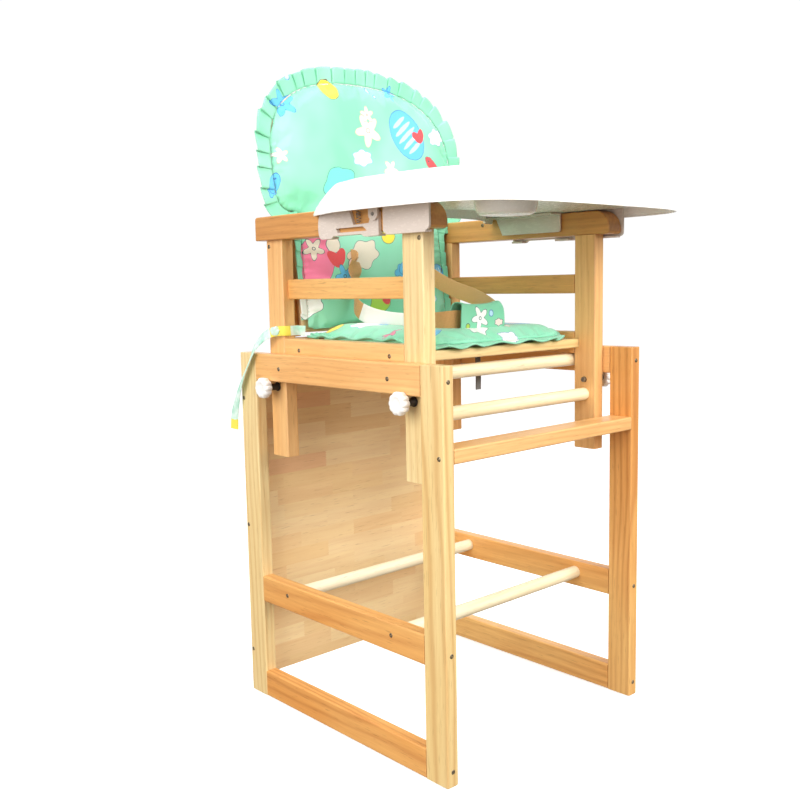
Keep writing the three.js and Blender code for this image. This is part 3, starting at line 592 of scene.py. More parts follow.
def floor():
    """A plain pale floor, which shows soft shadows and sends no light back up."""
    made, n, shader = material("floor", roughness=0.9, Emission_Strength=0.52)
    shader.inputs["Emission Color"].default_value = (1, 1, 1, 1)
    grain = n.noise(n.object_place(), 30, 3)
    n.feed(shader.inputs["Base Color"], n.mix(n.math("MULTIPLY", grain, 0.1), (0.86, 0.86, 0.86, 1),
                                              (0.82, 0.82, 0.82, 1)))
    half = 6
    corners = [(-half, -half, 0), (half, -half, 0), (half, half, 0), (-half, half, 0)]
    plane = mesh_piece("floor", [Vector(c) - Vector((0, 0, 0.0008)) for c in corners], [(0, 1, 2, 3)], made)
    plane.visible_diffuse = False
    plane.visible_glossy = False


def stage():
    """Soft studio light from the front, the side and above, over a pale floor."""
    studio_world()
    floor()
    area_light("key", (0.5, -2.7, 2.0), (0, 0, 0.5), 1.6, 94, (1.0, 0.985, 0.95))
    area_light("fill", (-2.8, -0.6, 1.3), (0, 0, 0.45), 2.2, 80, (1.0, 0.98, 0.95))
    area_light("top", (0.0, 0.2, 3.0), (0, 0, 0.5), 1.8, 50)
    view = bpy.context.scene.view_settings
    view.view_transform = "Standard"
    view.look = "None"
    view.exposure = 0.0


camera()
stage()


# ------------------------------------------------------------------ woodwork
# Each timber's pair of tones is for its left and right piece.  Where a pair differs, the left tone is darker
# as painted shade and the right one paler as painted light.
TIMBERS = (
    ("base_front_post", "z", ("honey", "straw"), 1.0), ("base_rear_post", "z", ("honey", "straw"), 0.8),
    ("base_top_rail", "y", ("peach", "peach"), 0.5), ("base_middle_rail", "y", ("honey", "honey"), 0.6),
    ("base_bottom_rail", "y", ("honey", "honey"), 0.8), ("chair_front_leg", "z", ("peach", "straw"), 0.8),
    ("chair_rear_leg", "z", ("peach", "peach"), 0.6), ("arm_rest", "y", ("amber_painted_shade", "amber_painted_shade"), 0.6),
    ("side_slat", "y", ("amber_painted_shade", "honey"), 0.4), ("seat_apron", "y", ("peach", "peach"), 0.4),
    ("back_upright", "z", ("honey", "honey"), 0.8),
)
CROSS_TIMBERS = (("footrest_rail", "peach"), ("seat_board", "straw"), ("seat_rear_rail", "honey"))
DOWELS = ("upper_dowel_front", "upper_dowel_rear", "lower_dowel_front", "lower_dowel_rear", "front_stretcher")


def woodwork():
    seed = 11
    for stem, grain, tones, lines in TIMBERS:
        for (side, _), tone in zip(SIDES, tones):
            seed += 1
            node = f"{stem}_{side}"
            paint_cad(node, pine(node, grain, seed, tone, lines))
            soften_cad(node, 0.9 * MM)
    for node, tone in CROSS_TIMBERS:
        seed += 1
        paint_cad(node, pine(node, "x", seed, tone, 0.6))
        soften_cad(node, 0.9 * MM)
    for node in DOWELS:
        seed += 1
        paint_cad(node, pine(node, "x", seed, "cream", 0.3))
        soften_cad(node, 0.7 * MM)
    for node in ("table_panel", "back_panel"):
        seed += 1
        paint_cad(node, finger_board(node, seed))
        soften_cad(node, 0.8 * MM)


# ------------------------------------------------------------------ screws
def screw_heads(name, heads, radius, surface):
    """Domed cross-head screws in one mesh.  Each head is (place, outward direction)."""
    around = 32
    profile = ((1.0, -0.25), (1.0, 0.12), (0.9, 0.42), (0.7, 0.62), (0.52, 0.7), (0.3, 0.72))
    points, faces = [], []
    for number, (place, outward) in enumerate(heads):
        turn = Vector((0, 0, 1)).rotation_difference(Vector(outward)).to_matrix()
        spin = Matrix.Rotation(0.7 + 1.9 * number, 3, "Z")
        start = len(points)
        for share, height in profile:
            for i in range(around):
                angle = 2 * math.pi * i / around
                across = abs(math.sin(2 * angle))
                cut = 0.75 if share < 0.66 and across < 0.55 else 0.0
                local = Vector((share * radius * math.cos(angle), share * radius * math.sin(angle),
                                (height - cut) * radius * 0.34))
                points.append(Vector(place) + turn @ (spin @ local))
        points.append(Vector(place) + turn @ Vector((0, 0, -0.1 * radius)))
        faces += rings_to_faces(len(profile), around, start)
        last = start + (len(profile) - 1) * around
        faces += [(last + i, last + (i + 1) % around, len(points) - 1) for i in range(around)]
    made = mesh_piece(name, points, faces, surface)
    mark_sharp(made, 40)
    return made


def frame_screws(surface):
    """The visible wood screws of the base, the chair and the back."""
    rear_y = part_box("base_rear_post_left")[1].y
    front_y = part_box("base_front_post_left")[0].y
    heads = []
    for _, sign in SIDES:
        outer, leg = sign * BASE_OUTER, sign * LEG_OUTER
        out = (sign, 0, 0)
        for dowel in DOWELS[:4]:
            low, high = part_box(dowel)
            heads.append(((outer, (low.y + high.y) / 2, (low.z + high.z) / 2), out))
        heads += [((outer, rear_y - 6.5 * MM, z * MM), out) for z in (487, 280, 70)]
        heads.append(((outer, front_y + 8.5 * MM, 441 * MM), out))
        for y, facing in ((front_y, -1), (rear_y, 1)):
            heads += [((sign * (BASE_OUTER - 10 * MM), y, z * MM), (0, facing, 0)) for z in (539, 180, 21)]
        for y in (-58, 147):
            heads.append(((leg, y * MM, 566 * MM), out))
        for leg_y, z in ((216, 724), (-120, 722)):
            heads.append(((leg, leg_y * MM, z * MM), out))
        heads.append(((sign * ARM_INNER, 108 * MM, 760 * MM), (-sign, 0, 0)))
        upright_low, upright_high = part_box(f"back_upright_{'left' if sign > 0 else 'right'}")
        middle = (upright_low.x + upright_high.x) / 2
        for up in (40, 145, 250):
            rear = back_point(middle / MM, -UPRIGHT_DEPTH, up)
            heads.append((tuple(rear), (0, math.cos(RECLINE), -math.sin(RECLINE))))
    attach(screw_heads("wood_screws", heads, 3.2 * MM, surface), "stand")


# ------------------------------------------------------------------ tray
def tray_outline(count):
    """Plan outline of the tray's skirt in millimetres: concave towards the child."""
    half = []

    def arc(cx, cy, radius, start, end, steps):
        for i in range(steps + 1):
            angle = start + (end - start) * i / steps
            half.append((cx + radius * math.cos(angle), cy + radius * math.sin(angle)))

    arc(0, BELLY_Y, BELLY_RADIUS, -math.pi / 2, BELLY_END, 16)
    arc(TIP_X, TIP_Y, TIP_RADIUS, 0.6 * math.pi, 0, 16)
    power = 2 / SQUARENESS
    for i in range(41):
        angle = i / 40 * math.pi / 2
        half.append((TRAY_HALF * math.cos(angle) ** power,
                     SIDE_Y - (SIDE_Y - TRAY_FRONT) * math.sin(angle) ** power))
    loop = half + [(-x, y) for x, y in reversed(half[1:-1])]
    closed = np.array(loop + loop[:1])
    along = np.concatenate([[0], np.cumsum(np.hypot(*np.diff(closed, axis=0).T))])
    wanted = np.linspace(0, along[-1], count, endpoint=False)
    even = np.stack([np.interp(wanted, along, closed[:, k]) for k in (0, 1)], axis=1)
    for _ in range(6):
        even = 0.25 * np.roll(even, 1, axis=0) + 0.5 * even + 0.25 * np.roll(even, -1, axis=0)
    return even + np.array([0, TRAY_SHIFT])


def tray_shell(surface):
    """Domed skirt, round crest, dish floor and cup recess in one even wall."""
    around = 280
    outline = tray_outline(around)
    middle = TRAY_MIDDLE + TRAY_SHIFT
    # From the skirt's lower edge over the crest to the dish floor, as (inset, height).
    rim = smooth_line([(0.6, 760, 0), (0.3, 762, 0), (3.3, 770, 0), (8.7, 780, 0), (15.2, 790, 0),
                       (22.0, 799, 0), (26.6, 803.8, 0), (30.2, 805, 0), (33.6, 803.8, 0),
                       (36.2, 799.5, 0), (39.4, 790, 0), (43.8, 781, 0), (49.4, 775.4, 0),
                       (55, 773.1, 0), (59, TRAY_FLOOR, 0)], 38)
    points = []
    for inset, z, _ in rim:
        for x, y in outline:
            px = x * (1 - inset / TRAY_HALF)
            py = middle + (y - middle) * (1 - inset / TRAY_HALF_DEEP)
            over_arm = 170.5 < abs(px) < 207 and py > -52
            points.append(Vector((px, py, max(z, 770.4) if over_arm else z)) * MM)
    faces = rings_to_faces(len(rim), around)
    cup_y, cup_around = CUP_Y + TRAY_SHIFT, 72
    cup = smooth_line([(49, TRAY_FLOOR, 0), (45.5, TRAY_FLOOR, 0), (42, 772.6, 0), (40.2, 771, 0),
                       (39.4, 767.5, 0), (37.4, 758, 0), (35.6, 754, 0), (32, 752.6, 0),
                       (27, CUP_FLOOR, 0)], 18)
    start = len(points)
    for radius, z, _ in cup:
        for i in range(cup_around):
            angle = 2 * math.pi * i / cup_around
            x, y = CUP_X + radius * math.cos(angle), cup_y + radius * math.sin(angle)
            points.append(Vector((x, y, z)) * MM)
    faces += rings_to_faces(len(cup), cup_around, start)
    points.append(Vector((CUP_X, cup_y, CUP_FLOOR)) * MM)
    last = start + (len(cup) - 1) * cup_around
    faces += [(last + i, last + (i + 1) % cup_around, len(points) - 1) for i in range(cup_around)]
    made = mesh_piece("tray", points, faces, surface)
    work = bmesh.new()
    work.from_mesh(made.data)
    floor_z = TRAY_FLOOR * MM
    open_edges = [edge for edge in work.edges if edge.is_boundary]
    loops = [edge for edge in open_edges if all(abs(v.co.z - floor_z) < 1e-5 for v in edge.verts)]
    bmesh.ops.triangle_fill(work, edges=loops, use_beauty=True)
    bmesh.ops.recalc_face_normals(work, faces=work.faces)
    if max(work.faces, key=lambda f: f.calc_area()).normal.z < 0:
        bmesh.ops.reverse_faces(work, faces=work.faces)
    work.to_mesh(made.data)
    work.free()
    made.data.polygons.foreach_set("use_smooth", [True] * len(made.data.polygons))
    wall = made.modifiers.new("wall", "SOLIDIFY")
    wall.thickness = 2.6 * MM
    wall.offset = -1
    wall.use_rim = True
    apply_modifiers(made)
    mark_sharp(made, 42)
    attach(made, "tray")
    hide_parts("tray_shell")


def tray_hardware(plastic, metal):
    """Guides, levers and pins keep their CAD shapes; the springs are finer coils."""
    for side, sign in SIDES:
        for stem in ("tray_inner_guide", "tray_outer_guide", "latch_lever"):
            # plastic here is the greyer guide plastic, darkened as painted shade.
            paint_cad(f"{stem}_{side}", plastic)
            soften_cad(f"{stem}_{side}", 0.7 * MM)
        paint_cad(f"latch_pin_{side}", metal)
        soften_cad(f"latch_pin_{side}", 0.4 * MM)
        latch_spring(side, metal)


def latch_spring(side, surface):
    """A compression coil between the tray and the lever, with closed ends."""
    low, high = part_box(f"latch_spring_{side}")
    centre = (low + high) / 2
    radius, wire, turns, steps, around = 2.85 * MM, 0.55 * MM, 7.5, 150, 10
    height = high.z - low.z - 2 * wire
    line = []
    for i in range(steps + 1):
        t = i / steps
        rise = t - 0.055 * math.sin(4 * math.pi * t) * 0.6
        angle = 2 * math.pi * turns * t
        line.append(Vector((centre.x + radius * math.cos(angle), centre.y + radius * math.sin(angle),
                            low.z + wire + height * rise)))
    points = []
    for i, here in enumerate(line):
        ahead = (line[min(i + 1, steps)] - line[max(i - 1, 0)]).normalized()
        out = (here - Vector((centre.x, centre.y, here.z))).normalized()
        up = ahead.cross(out)
        points += [here + wire * (math.cos(a) * out + math.sin(a) * up)
                   for a in (2 * math.pi * k / around for k in range(around))]
    faces = rings_to_faces(steps + 1, around)
    faces += [tuple(range(around))[::-1], tuple(range(steps * around, (steps + 1) * around))]
    made = mesh_piece(f"spring_{side}", points, faces, surface)
    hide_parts(f"latch_spring_{side}")
    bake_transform(made)


# ------------------------------------------------------------------ clamp knobs
def clamp_knob(place, side, sign, plastic, metal, shank_surface):
    """A fluted hand knob with a dished middle, and the dark shank behind it."""
    low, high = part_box(f"clamp_knob_{place}_{side}")
    centre = (low + high) / 2
    inner = low.x if sign > 0 else high.x
    lobes, around = 10, 160
    # Depth from the inner face, radius, and depth of the flutes there.
    profile = ((0.0, 7.5, 0), (0.0, 12.6, 0.6), (0.5, 14.2, 1.4), (1.8, 15.3, 2.1), (4, 16.0, 2.5),
               (8.5, 16.4, 2.5), (11.2, 15.8, 2.2), (12.8, 14.4, 1.6), (13.7, 12.4, 0.8),
               (14.0, 10.3, 0.2), (13.7, 8.7, 0.0), (13.0, 7.5, 0.0), (12.7, 6.0, 0.0), (12.7, 3.2, 0.0))
    points = []
    for depth, radius, flute in profile:
        for i in range(around):
            angle = 2 * math.pi * i / around
            valley = 1 - abs(math.cos(lobes / 2 * angle)) ** 0.75
            r = radius - flute * valley
            points.append(Vector((inner + sign * depth * MM, centre.y + r * MM * math.cos(angle),
                                  centre.z + r * MM * math.sin(angle))))
    points.append(Vector((inner, centre.y, centre.z)))
    points.append(Vector((inner + sign * 12.7 * MM, centre.y, centre.z)))
    faces = rings_to_faces(len(profile), around)
    last = (len(profile) - 1) * around
    faces += [((i + 1) % around, i, len(points) - 2) for i in range(around)]
    faces += [(last + i, last + (i + 1) % around, len(points) - 1) for i in range(around)]
    if sign < 0:
        faces = [face[::-1] for face in faces]
    made = mesh_piece(f"knob_{place}_{side}", points, faces, plastic)
    mark_sharp(made, 50)
    body = f"clamp_{place}_{side}"
    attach(made, body)
    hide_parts(f"clamp_knob_{place}_{side}")
    bolt = f"clamp_bolt_{place}_{side}"
    paint_cad(bolt, metal)
    soften_cad(bolt, 0.5 * MM)
    shank = knob_shank(f"knob_shank_{place}_{side}", centre, sign, shank_surface)
    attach(shank, body)


def knob_shank(name, centre, sign, surface):
    """Stepped collar on the bolt between the knob and the chair's leg."""
    around = 40
    start = LEG_OUTER + 0.6 * MM
    end = BASE_OUTER + 0.2 * MM
    profile = ((start, 4.3), (start, 6.4), (start + 0.7 * MM, 7.0), (start + 1.6 * MM, 7.0),
               (start + 2.1 * MM, 5.3), (end - 2.0 * MM, 5.2), (end - 1.2 * MM, 6.0), (end, 6.2), (end, 4.3))
    points = []
    for x, radius in profile:
        for i in range(around):
            angle = 2 * math.pi * i / around
            points.append(Vector((sign * x, centre.y + radius * MM * math.cos(angle),
                                  centre.z + radius * MM * math.sin(angle))))
    faces = rings_to_faces(len(profile), around)
    last = (len(profile) - 1) * around
    faces += [(last + i, last + (i + 1) % around, (i + 1) % around, i) for i in range(around)]
    if sign < 0:
        faces = [face[::-1] for face in faces]
    made = mesh_piece(name, points, faces, surface)
    mark_sharp(made, 40)
    return made


# ------------------------------------------------------------------ soft goods
def back_point(x, out, up):
    """A point of the reclined back: out is towards the child, up along the panel (mm)."""
    y = -out * math.cos(RECLINE) + up * math.sin(RECLINE)
    z = out * math.sin(RECLINE) + up * math.cos(RECLINE)
    return BACK_FOOT + Vector((x, y, z)) * MM


def pad_outline(inset, count):
    """Half-open outline of the back pad, from its lower left corner round the head to the
    lower right one, as (x, up) in millimetres and drawn in by inset."""
    low, high, neck, tall = 165 - inset, 206 - inset, 180 + inset * 0.3, 412 - inset
    foot = inset - 11
    shoulder = neck + 90
    rise = tall - shoulder

    def bezier(a, b, c, d, steps):
        for i in range(steps):
            t = i / steps
            yield tuple((1 - t) ** 3 * a[k] + 3 * (1 - t) ** 2 * t * b[k] + 3 * (1 - t) * t * t * c[k]
                        + t ** 3 * d[k] for k in (0, 1))

    right = [(low - 10, foot), (low - 3, foot + 3), (low, foot + 10), (low, neck * 0.5), (low, neck)]
    right += list(bezier((low, neck), (low + 38, neck + 1), (high, neck + 14), (high, shoulder), 14))[1:]
    right += list(bezier((high, shoulder), (high, shoulder + 0.75 * rise), (high * 0.6, tall), (0, tall), 20))
    line = right + [(0, tall)] + [(-x, up) for x, up in reversed(right)]
    return [(p.x, p.y) for p in smooth_line([(x, up, 0) for x, up in line], count)]


def crowned_pad(outline, thick, edge, place, rings=16, fullness=0.5, roundness=6):
    """A closed crowned form over a closed outline of (x, y) points: place(x, y, height)
    puts a point in the world, and height runs from 0 at the back to thick at the crown."""
    centre = np.mean(np.array(outline), axis=0)
    around = len(outline)
    points = []
    levels = [(1 - (i / rings) ** 2.0) for i in range(rings)]
    under, over = thick * fullness, thick * (1 - fullness)
    front = [(s, under + over * max(0.0, 1 - s ** roundness) ** 0.5) for s in reversed(levels)]
    back = [(s, under - under * max(0.0, 1 - s ** 10) ** 0.5) for s in levels[1:]]
    for share, height in front + back:
        for x, y in outline:
            points.append(place(centre[0] + (x - centre[0]) * share, centre[1] + (y - centre[1]) * share,
                                height + edge))
    faces = rings_to_faces(len(front) + len(back), around)
    points.append(place(centre[0], centre[1], thick + edge))
    points.append(place(centre[0], centre[1], edge))
    last = (len(front) + len(back) - 1) * around
    faces += [((i + 1) % around, i, len(points) - 2) for i in range(around)]
    faces += [(last + i, last + (i + 1) % around, len(points) - 1) for i in range(around)]
    return points, faces


def inflate(piece, voxel, pressure, cap, held, frames=20):
    """Puffs a closed form out by cloth simulation.  held(point) is 1 where it is sewn down.
    The result is capped and left as the piece's own mesh."""
    remesh = piece.modifiers.new("remesh", "REMESH")
    remesh.mode = "VOXEL"
    remesh.voxel_size = voxel
    remesh.use_smooth_shade = True
    apply_modifiers(piece)
    rest = np.array([v.co for v in piece.data.vertices])
    group = piece.vertex_groups.new(name="sewn")
    for vertex in piece.data.vertices:
        weight = held(vertex.co)
        if weight > 0:
            group.add([vertex.index], weight, "REPLACE")
    cloth = piece.modifiers.new("cloth", "CLOTH")
    settings = cloth.settings
    settings.quality = 6
    settings.mass = 0.2
    settings.tension_stiffness = settings.compression_stiffness = 12
    settings.shear_stiffness = 6
    settings.bending_stiffness = 0.4
    settings.use_pressure = True
    settings.uniform_pressure_force = pressure
    settings.shrink_min = -0.03
    settings.vertex_group_mass = "sewn"
    settings.effector_weights.gravity = 0
    cloth.point_cache.frame_start = 1
    cloth.point_cache.frame_end = frames
    for step in range(1, frames + 1):
        bpy.context.scene.frame_set(step)
    apply_modifiers(piece)
    bpy.context.scene.frame_set(1)
    moved = np.array([v.co for v in piece.data.vertices]) - rest
    far = np.linalg.norm(moved, axis=1, keepdims=True)
    rest = rest + moved * np.minimum(1, cap / np.maximum(far, 1e-9))
    piece.data.vertices.foreach_set("co", rest.astype(np.float32).ravel())
    piece.vertex_groups.clear()
    finer = piece.modifiers.new("finer", "SUBSURF")
    finer.levels = finer.render_levels = 1
    apply_modifiers(piece)
    piece.data.polygons.foreach_set("use_smooth", [True] * len(piece.data.polygons))


KNIFE_PLEAT = ((0.0, 0.0, 0.0), (0.2, 0.26, 0.35), (0.44, 0.62, 0.75), (0.6, 0.9, 0.95), (0.69, 1.03, 1.0),
               (0.73, 1.06, 0.86), (0.77, 1.03, 0.6), (0.84, 0.94, 0.34), (0.9, 0.91, 0.1), (1.0, 1.0, 0.0))
SOFT_WAVE = ((0.0, 0.0, 0.0), (0.12, 0.12, 0.1), (0.3, 0.3, 0.62), (0.48, 0.48, 1.0), (0.6, 0.6, 0.92),
             (0.8, 0.8, 0.3), (0.92, 0.92, 0.05), (1.0, 1.0, 0.0))


def frill(name, seam, outward, lift, width, surface, fold, pitch, depth, seed, rows=9, steps=20,
          thick=1.0 * MM):
    """A strip sewn along a seam in folds.  fold lists (phase, share of the pitch, rise); outward
    and lift give, for each seam point, the directions across the strip and up its folds.
    width and depth are functions of the share of the seam, in metres."""
    rng = random.Random(seed)
    lengths = np.concatenate([[0], np.cumsum([(b - a).length for a, b in zip(seam, seam[1:])])])
    total = lengths[-1]
    grid = {key: np.array([tuple(v.normalized()) if key else tuple(v) for v in rows_of])
            for key, rows_of in enumerate((seam, outward, lift))}

    def at(key, s):
        return Vector([np.interp(s, lengths, grid[key][:, k]) for k in range(3)])

    phases, shares, rises = (np.array(column) for column in zip(*fold))
    points, start = [], 0.0
    while start < total:
        size = pitch * rng.uniform(0.72, 1.3)
        strength, spread = rng.uniform(0.75, 1.15), rng.uniform(0.94, 1.07)
        tilt = rng.uniform(-0.12, 0.12)
        for i in range(steps):
            phase = i / steps
            share = np.interp(phase, phases, shares)
            rise = np.interp(phase, phases, rises) - 0.5
            flat = start + size * phase
            folded = start + size * share
            for row in range(rows):
                out = row / (rows - 1)
                crease = 0.25 + 0.75 * out ** 0.8
                # Towards its free edge the strip spreads, so the folds overlap less there.
                s = min(max(folded * (1 - 0.35 * out) + flat * 0.35 * out, 0.0), total)
                where = min(s / total, 1.0)
                reach = width(where) * out * (spread + tilt * (phase - 0.5))
                points.append(at(0, s) + at(1, s).normalized() * reach
                              + at(2, s).normalized() * (rise * depth(where) * strength * crease))
        start += size
    rings = len(points) // rows
    made = mesh_piece(name, points, rings_to_faces(rings, rows, closed=False), surface)
    body = made.modifiers.new("cloth", "SOLIDIFY")
    body.thickness = thick
    body.offset = 0
    apply_modifiers(made)
    return made, total


def gather(piece, line, amplitude, pitch, reach):
    """Small puckers that run away from a sewn line and die out."""
    tree = nearest(line)
    lengths = np.concatenate([[0], np.cumsum([(b - a).length for a, b in zip(line, line[1:])])])
    moved = []
    for vertex in piece.data.vertices:
        _, index, far = tree.find(vertex.co)
        s = lengths[index] + 0.004 * math.sin(41 * lengths[index])
        pucker = math.sin(2 * math.pi * s / pitch) * math.exp(-far / reach) * min(1, far / (0.3 * reach))
        moved.extend(vertex.co + vertex.normal * (amplitude * pucker))
    piece.data.vertices.foreach_set("co", moved)
    piece.data.update()


def stitches(name, line, normal, surface, long=3.2 * MM, gap=1.6 * MM, radius=0.36 * MM):
    """A row of thread stitches that lie on a line of points, raised along its normals."""
    lengths = [0.0]
    for a, b in zip(line, line[1:]):
        lengths.append(lengths[-1] + (b - a).length)
    around, rings = 6, 5
    points, faces = [], []
    at = gap
    while at + long < lengths[-1]:
        start = len(points)
        for ring in range(rings):
            t = ring / (rings - 1)
            s = at + long * t
            k = min(max(np.searchsorted(lengths, s) - 1, 0), len(line) - 2)
            share = (s - lengths[k]) / max(lengths[k + 1] - lengths[k], 1e-9)
            here = line[k].lerp(line[k + 1], share)
            up = normal[k].lerp(normal[k + 1], share).normalized()
            ahead = (line[k + 1] - line[k]).normalized()
            side = ahead.cross(up)
            bow = math.sin(math.pi * t)
            size = radius * (0.35 + 0.65 * bow)
            centre = here + up * (radius * (bow - 0.55))
            points += [centre + size * (math.cos(a) * side + math.sin(a) * up)
                       for a in (2 * math.pi * j / around for j in range(around))]
        faces += rings_to_faces(rings, around, start)
        faces.append(tuple(range(start, start + around))[::-1])
        faces.append(tuple(range(start + (rings - 1) * around, start + rings * around)))
        at += long + gap
    return mesh_piece(name, points, faces, surface)


def thread(name, rgb):
    """Twisted sewing thread."""
    made, n, shader = material(name, roughness=0.6, Sheen_Weight=0.2)
    place = n.object_place()
    wave = n.add("ShaderNodeTexWave", {"Vector": place, "Scale": 900.0}, bands_direction="DIAGONAL")
    twist = wave.outputs["Fac"]
    n.feed(shader.inputs["Base Color"], n.mix(n.math("MULTIPLY", twist, 0.4), opaque(rgb),
                                              opaque(tuple(c * 0.6 for c in rgb))))
    bump = n.add("ShaderNodeBump", {"Strength": 0.4, "Distance": 0.0002, "Height": twist})
    n.feed(shader.inputs["Normal"], bump.outputs[0])
    return made


BACK_PRINT = (
    lemon(-73, 383, 21, -0.5) + star(-163, 352, 17, SKY, DEEP_BLUE, 0.3) + bubble(-150, 394, 6)
    + star(-3, 322, 21, PALE_PINK, BLUSH, 0.5) + star(-2, 348, 11, PALE_PINK, BLUSH, 0.1)
    + star(-180, 270, 10, WHITE, BLUSH, 0.2) + cloud(-74, 234, 34, TEAL, INK, 0.5, 4)
    + fish(-192, 228, 17, SKY, DEEP_BLUE, 1.2) + striped_shell(84, 322, 46, -0.9)
    + heart(112, 322, 13, CORAL, 0.4) + cloud(158, 326, 22, WHITE, DEEP_BLUE, 0.3)
    + fish(137, 276, 18, CORAL, INK, 2.4) + star(40, 262, 12, WHITE, BLUSH, 0.7) + lemon(48, 200, 16, 0.6)
    + bubble(10, 390, 6) + bubble(22, 381, 4) + star(60, 392, 11, SKY, DEEP_BLUE, 0.9)
    + cloud(-20, 276, 20, WHITE, SKY, 0.1) + cloud(-122, 118, 46, ROSE, INK, 1.1, 5)
    + star(-133, 128, 14, SAND, INK, 0.6) + bubble(-98, 134, 14, SAND, INK)
    + heart(-92, 112, 17, CORAL, 0.2) + cloud(-38, 118, 34, SAND, INK, 0.4, 6)
    + star(-80, 84, 15, SKY, INK, 0.4) + bubble(-62, 104, 9, PALE_PINK, INK)
    + cloud(-11, 38, 27, LEAF, INK, 0.7, 5) + heart(6, 44, 9, CORAL, 0.5)
    + cloud(-150, 40, 26, WHITE, INK, 0.5, 5) + fish(60, 100, 24, SKY, DEEP_BLUE, 0.4)
    + star(110, 150, 18, PALE_PINK, BLUSH, 0.4) + cloud(90, 46, 30, WHITE, SKY, 0.2)
    + striped_shell(130, 84, 26, 0.5) + lemon(20, 150, 17, 0.2)
)
SEAT_PRINT = (
    cloud(-92, 100, 34, WHITE, SKY, 0.1) + star(-78, 84, 9, SKY, DEEP_BLUE, 0.4)
    + striped_shell(94, -30, 34, 0.2) + fish(120, -12, 22, CORAL, INK, 0.5)
    + star(38, -52, 15, WHITE, BLUSH, 0.5) + cloud(-34, -68, 22, WHITE, INK, 0.2)
    + fish(-120, -60, 24, SKY, DEEP_BLUE, 0.2) + lemon(70, 60, 20, 0.3)
    + star(-20, 40, 18, PALE_PINK, BLUSH, 0.8) + heart(20, 110, 15, CORAL, 0.3) + bubble(-60, 20, 8)
    + bubble(-48, 30, 5) + cloud(120, 110, 28, TEAL, INK) + star(-130, 10, 12, ROSE, INK, 0.2)
    + cloud(10, -92, 18, WHITE, DEEP_BLUE) + fish(130, 60, 16, LEAF, INK, 2.0) + bubble(0, -10, 6)
    + star(80, 130, 10, SKY, DEEP_BLUE) + lemon(-130, 140, 18, 0.9)
)
SLEEVE_PRINT = (
    star(-22, 611, 14, WHITE, INK, 0.4) + bubble(2, 618, 5) + cloud(18, 604, 9, PALE_PINK, INK)
    + bubble(-48, 600, 5, LEAF, INK)
)


def back_cushion(plain):
    """Crowned pad, gathered frill round its seam, and the seam's stitching."""
    cotton = printed_cotton("back_cotton", (1, 0, 0), (0, math.sin(RECLINE), math.cos(RECLINE)),
                            shifted(BACK_PRINT, 0, BACK_FOOT.y / MM * math.sin(RECLINE)
                                    + BACK_FOOT.z / MM * math.cos(RECLINE)))
    seam_inset = 12
    outline = pad_outline(seam_inset, 220)
    rear_out = -PAD_BACK / MM + 1.5
    points, faces = crowned_pad(outline, 15, rear_out, lambda x, up, out: back_point(x, out, up))
    pad = mesh_piece("back_cushion_pad", points, faces, cotton)
    seam_out = rear_out + 8.0
    sewn_line = [back_point(x, seam_out, up) for x, up in outline]
    tree = nearest(sewn_line)
    inflate(pad, 5 * MM, 3.4, 7 * MM, lambda p: 1.0 if tree.find(p)[2] < 7 * MM else 0.0)
    gather(pad, sewn_line, 0.9 * MM, 11 * MM, 14 * MM)
    keep_before(pad, rear_out)
    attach(pad, "stand")
    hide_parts("back_cushion")

    line = pad_outline(seam_inset, 260)[6:-6]
    flat = [Vector((x, up, 0)) for x, up in line]
    seam, outward, lift = [], [], []
    towards_child = back_point(0, 1, 0) - back_point(0, 0, 0)
    for i, (x, up) in enumerate(line):
        ahead = (flat[min(i + 1, len(flat) - 1)] - flat[max(i - 1, 0)]).normalized()
        side = Vector((ahead.y, -ahead.x, 0))
        seam.append(back_point(x - side.x * 1.0, seam_out, up - side.y * 1.0))
        outward.append((back_point(side.x, 0.10, side.y) - back_point(0, 0, 0)))
        lift.append(towards_child)

    def head_share(s):
        """0 along the straight lower sides, 1 round the head."""
        edge = min(s, 1 - s)
        return min(1.0, max(0.0, (edge - 0.125) / 0.02))

    made, total = frill("back_cushion_frill", seam, outward, lift, lambda s: (12 + 14 * head_share(s)) * MM,
                        cotton, KNIFE_PLEAT, 24 * MM, lambda s: (2.4 + 3.2 * head_share(s)) * MM, seed=5)
    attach(made, "stand")
    row = [p + towards_child.normalized() * 2.0 * MM - o.normalized() * 2.4 * MM
           for p, o in zip(seam, outward)]
    sewn = stitches("back_cushion_stitches", on_surface(row, pad, towards_child), lift, plain)
    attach(sewn, "stand")


def shifted(motifs, dx, dy):
    """The same motifs moved by millimetres across the print."""
    return [(x + dx, y + dy, *rest) for x, y, *rest in motifs]


def nearest(points):
    tree = KDTree(len(points))
    for i, p in enumerate(points):
        tree.insert(p, i)
    tree.balance()
    return tree


def on_surface(points, piece, direction):
    """The points moved along a direction onto the piece, where they meet it."""
    tree = BVHTree.FromPolygons([v.co for v in piece.data.vertices],
                                [tuple(p.vertices) for p in piece.data.polygons])
    way = direction.normalized()
    found = []
    for p in points:
        hit = tree.ray_cast(p + way * 0.03, -way, 0.06)[0]
        found.append(hit + way * 0.0002 if hit is not None else p)
    return found


def keep_before(piece, least_out):
    """Flattens a pad where it would pass through the panel behind it."""
    normal = (back_point(0, 1, 0) - back_point(0, 0, 0)).normalized()
    base = back_point(0, least_out - 1.2, 0)
    for vertex in piece.data.vertices:
        short = -(vertex.co - base).dot(normal)
        if short > 0:
            vertex.co += normal * short


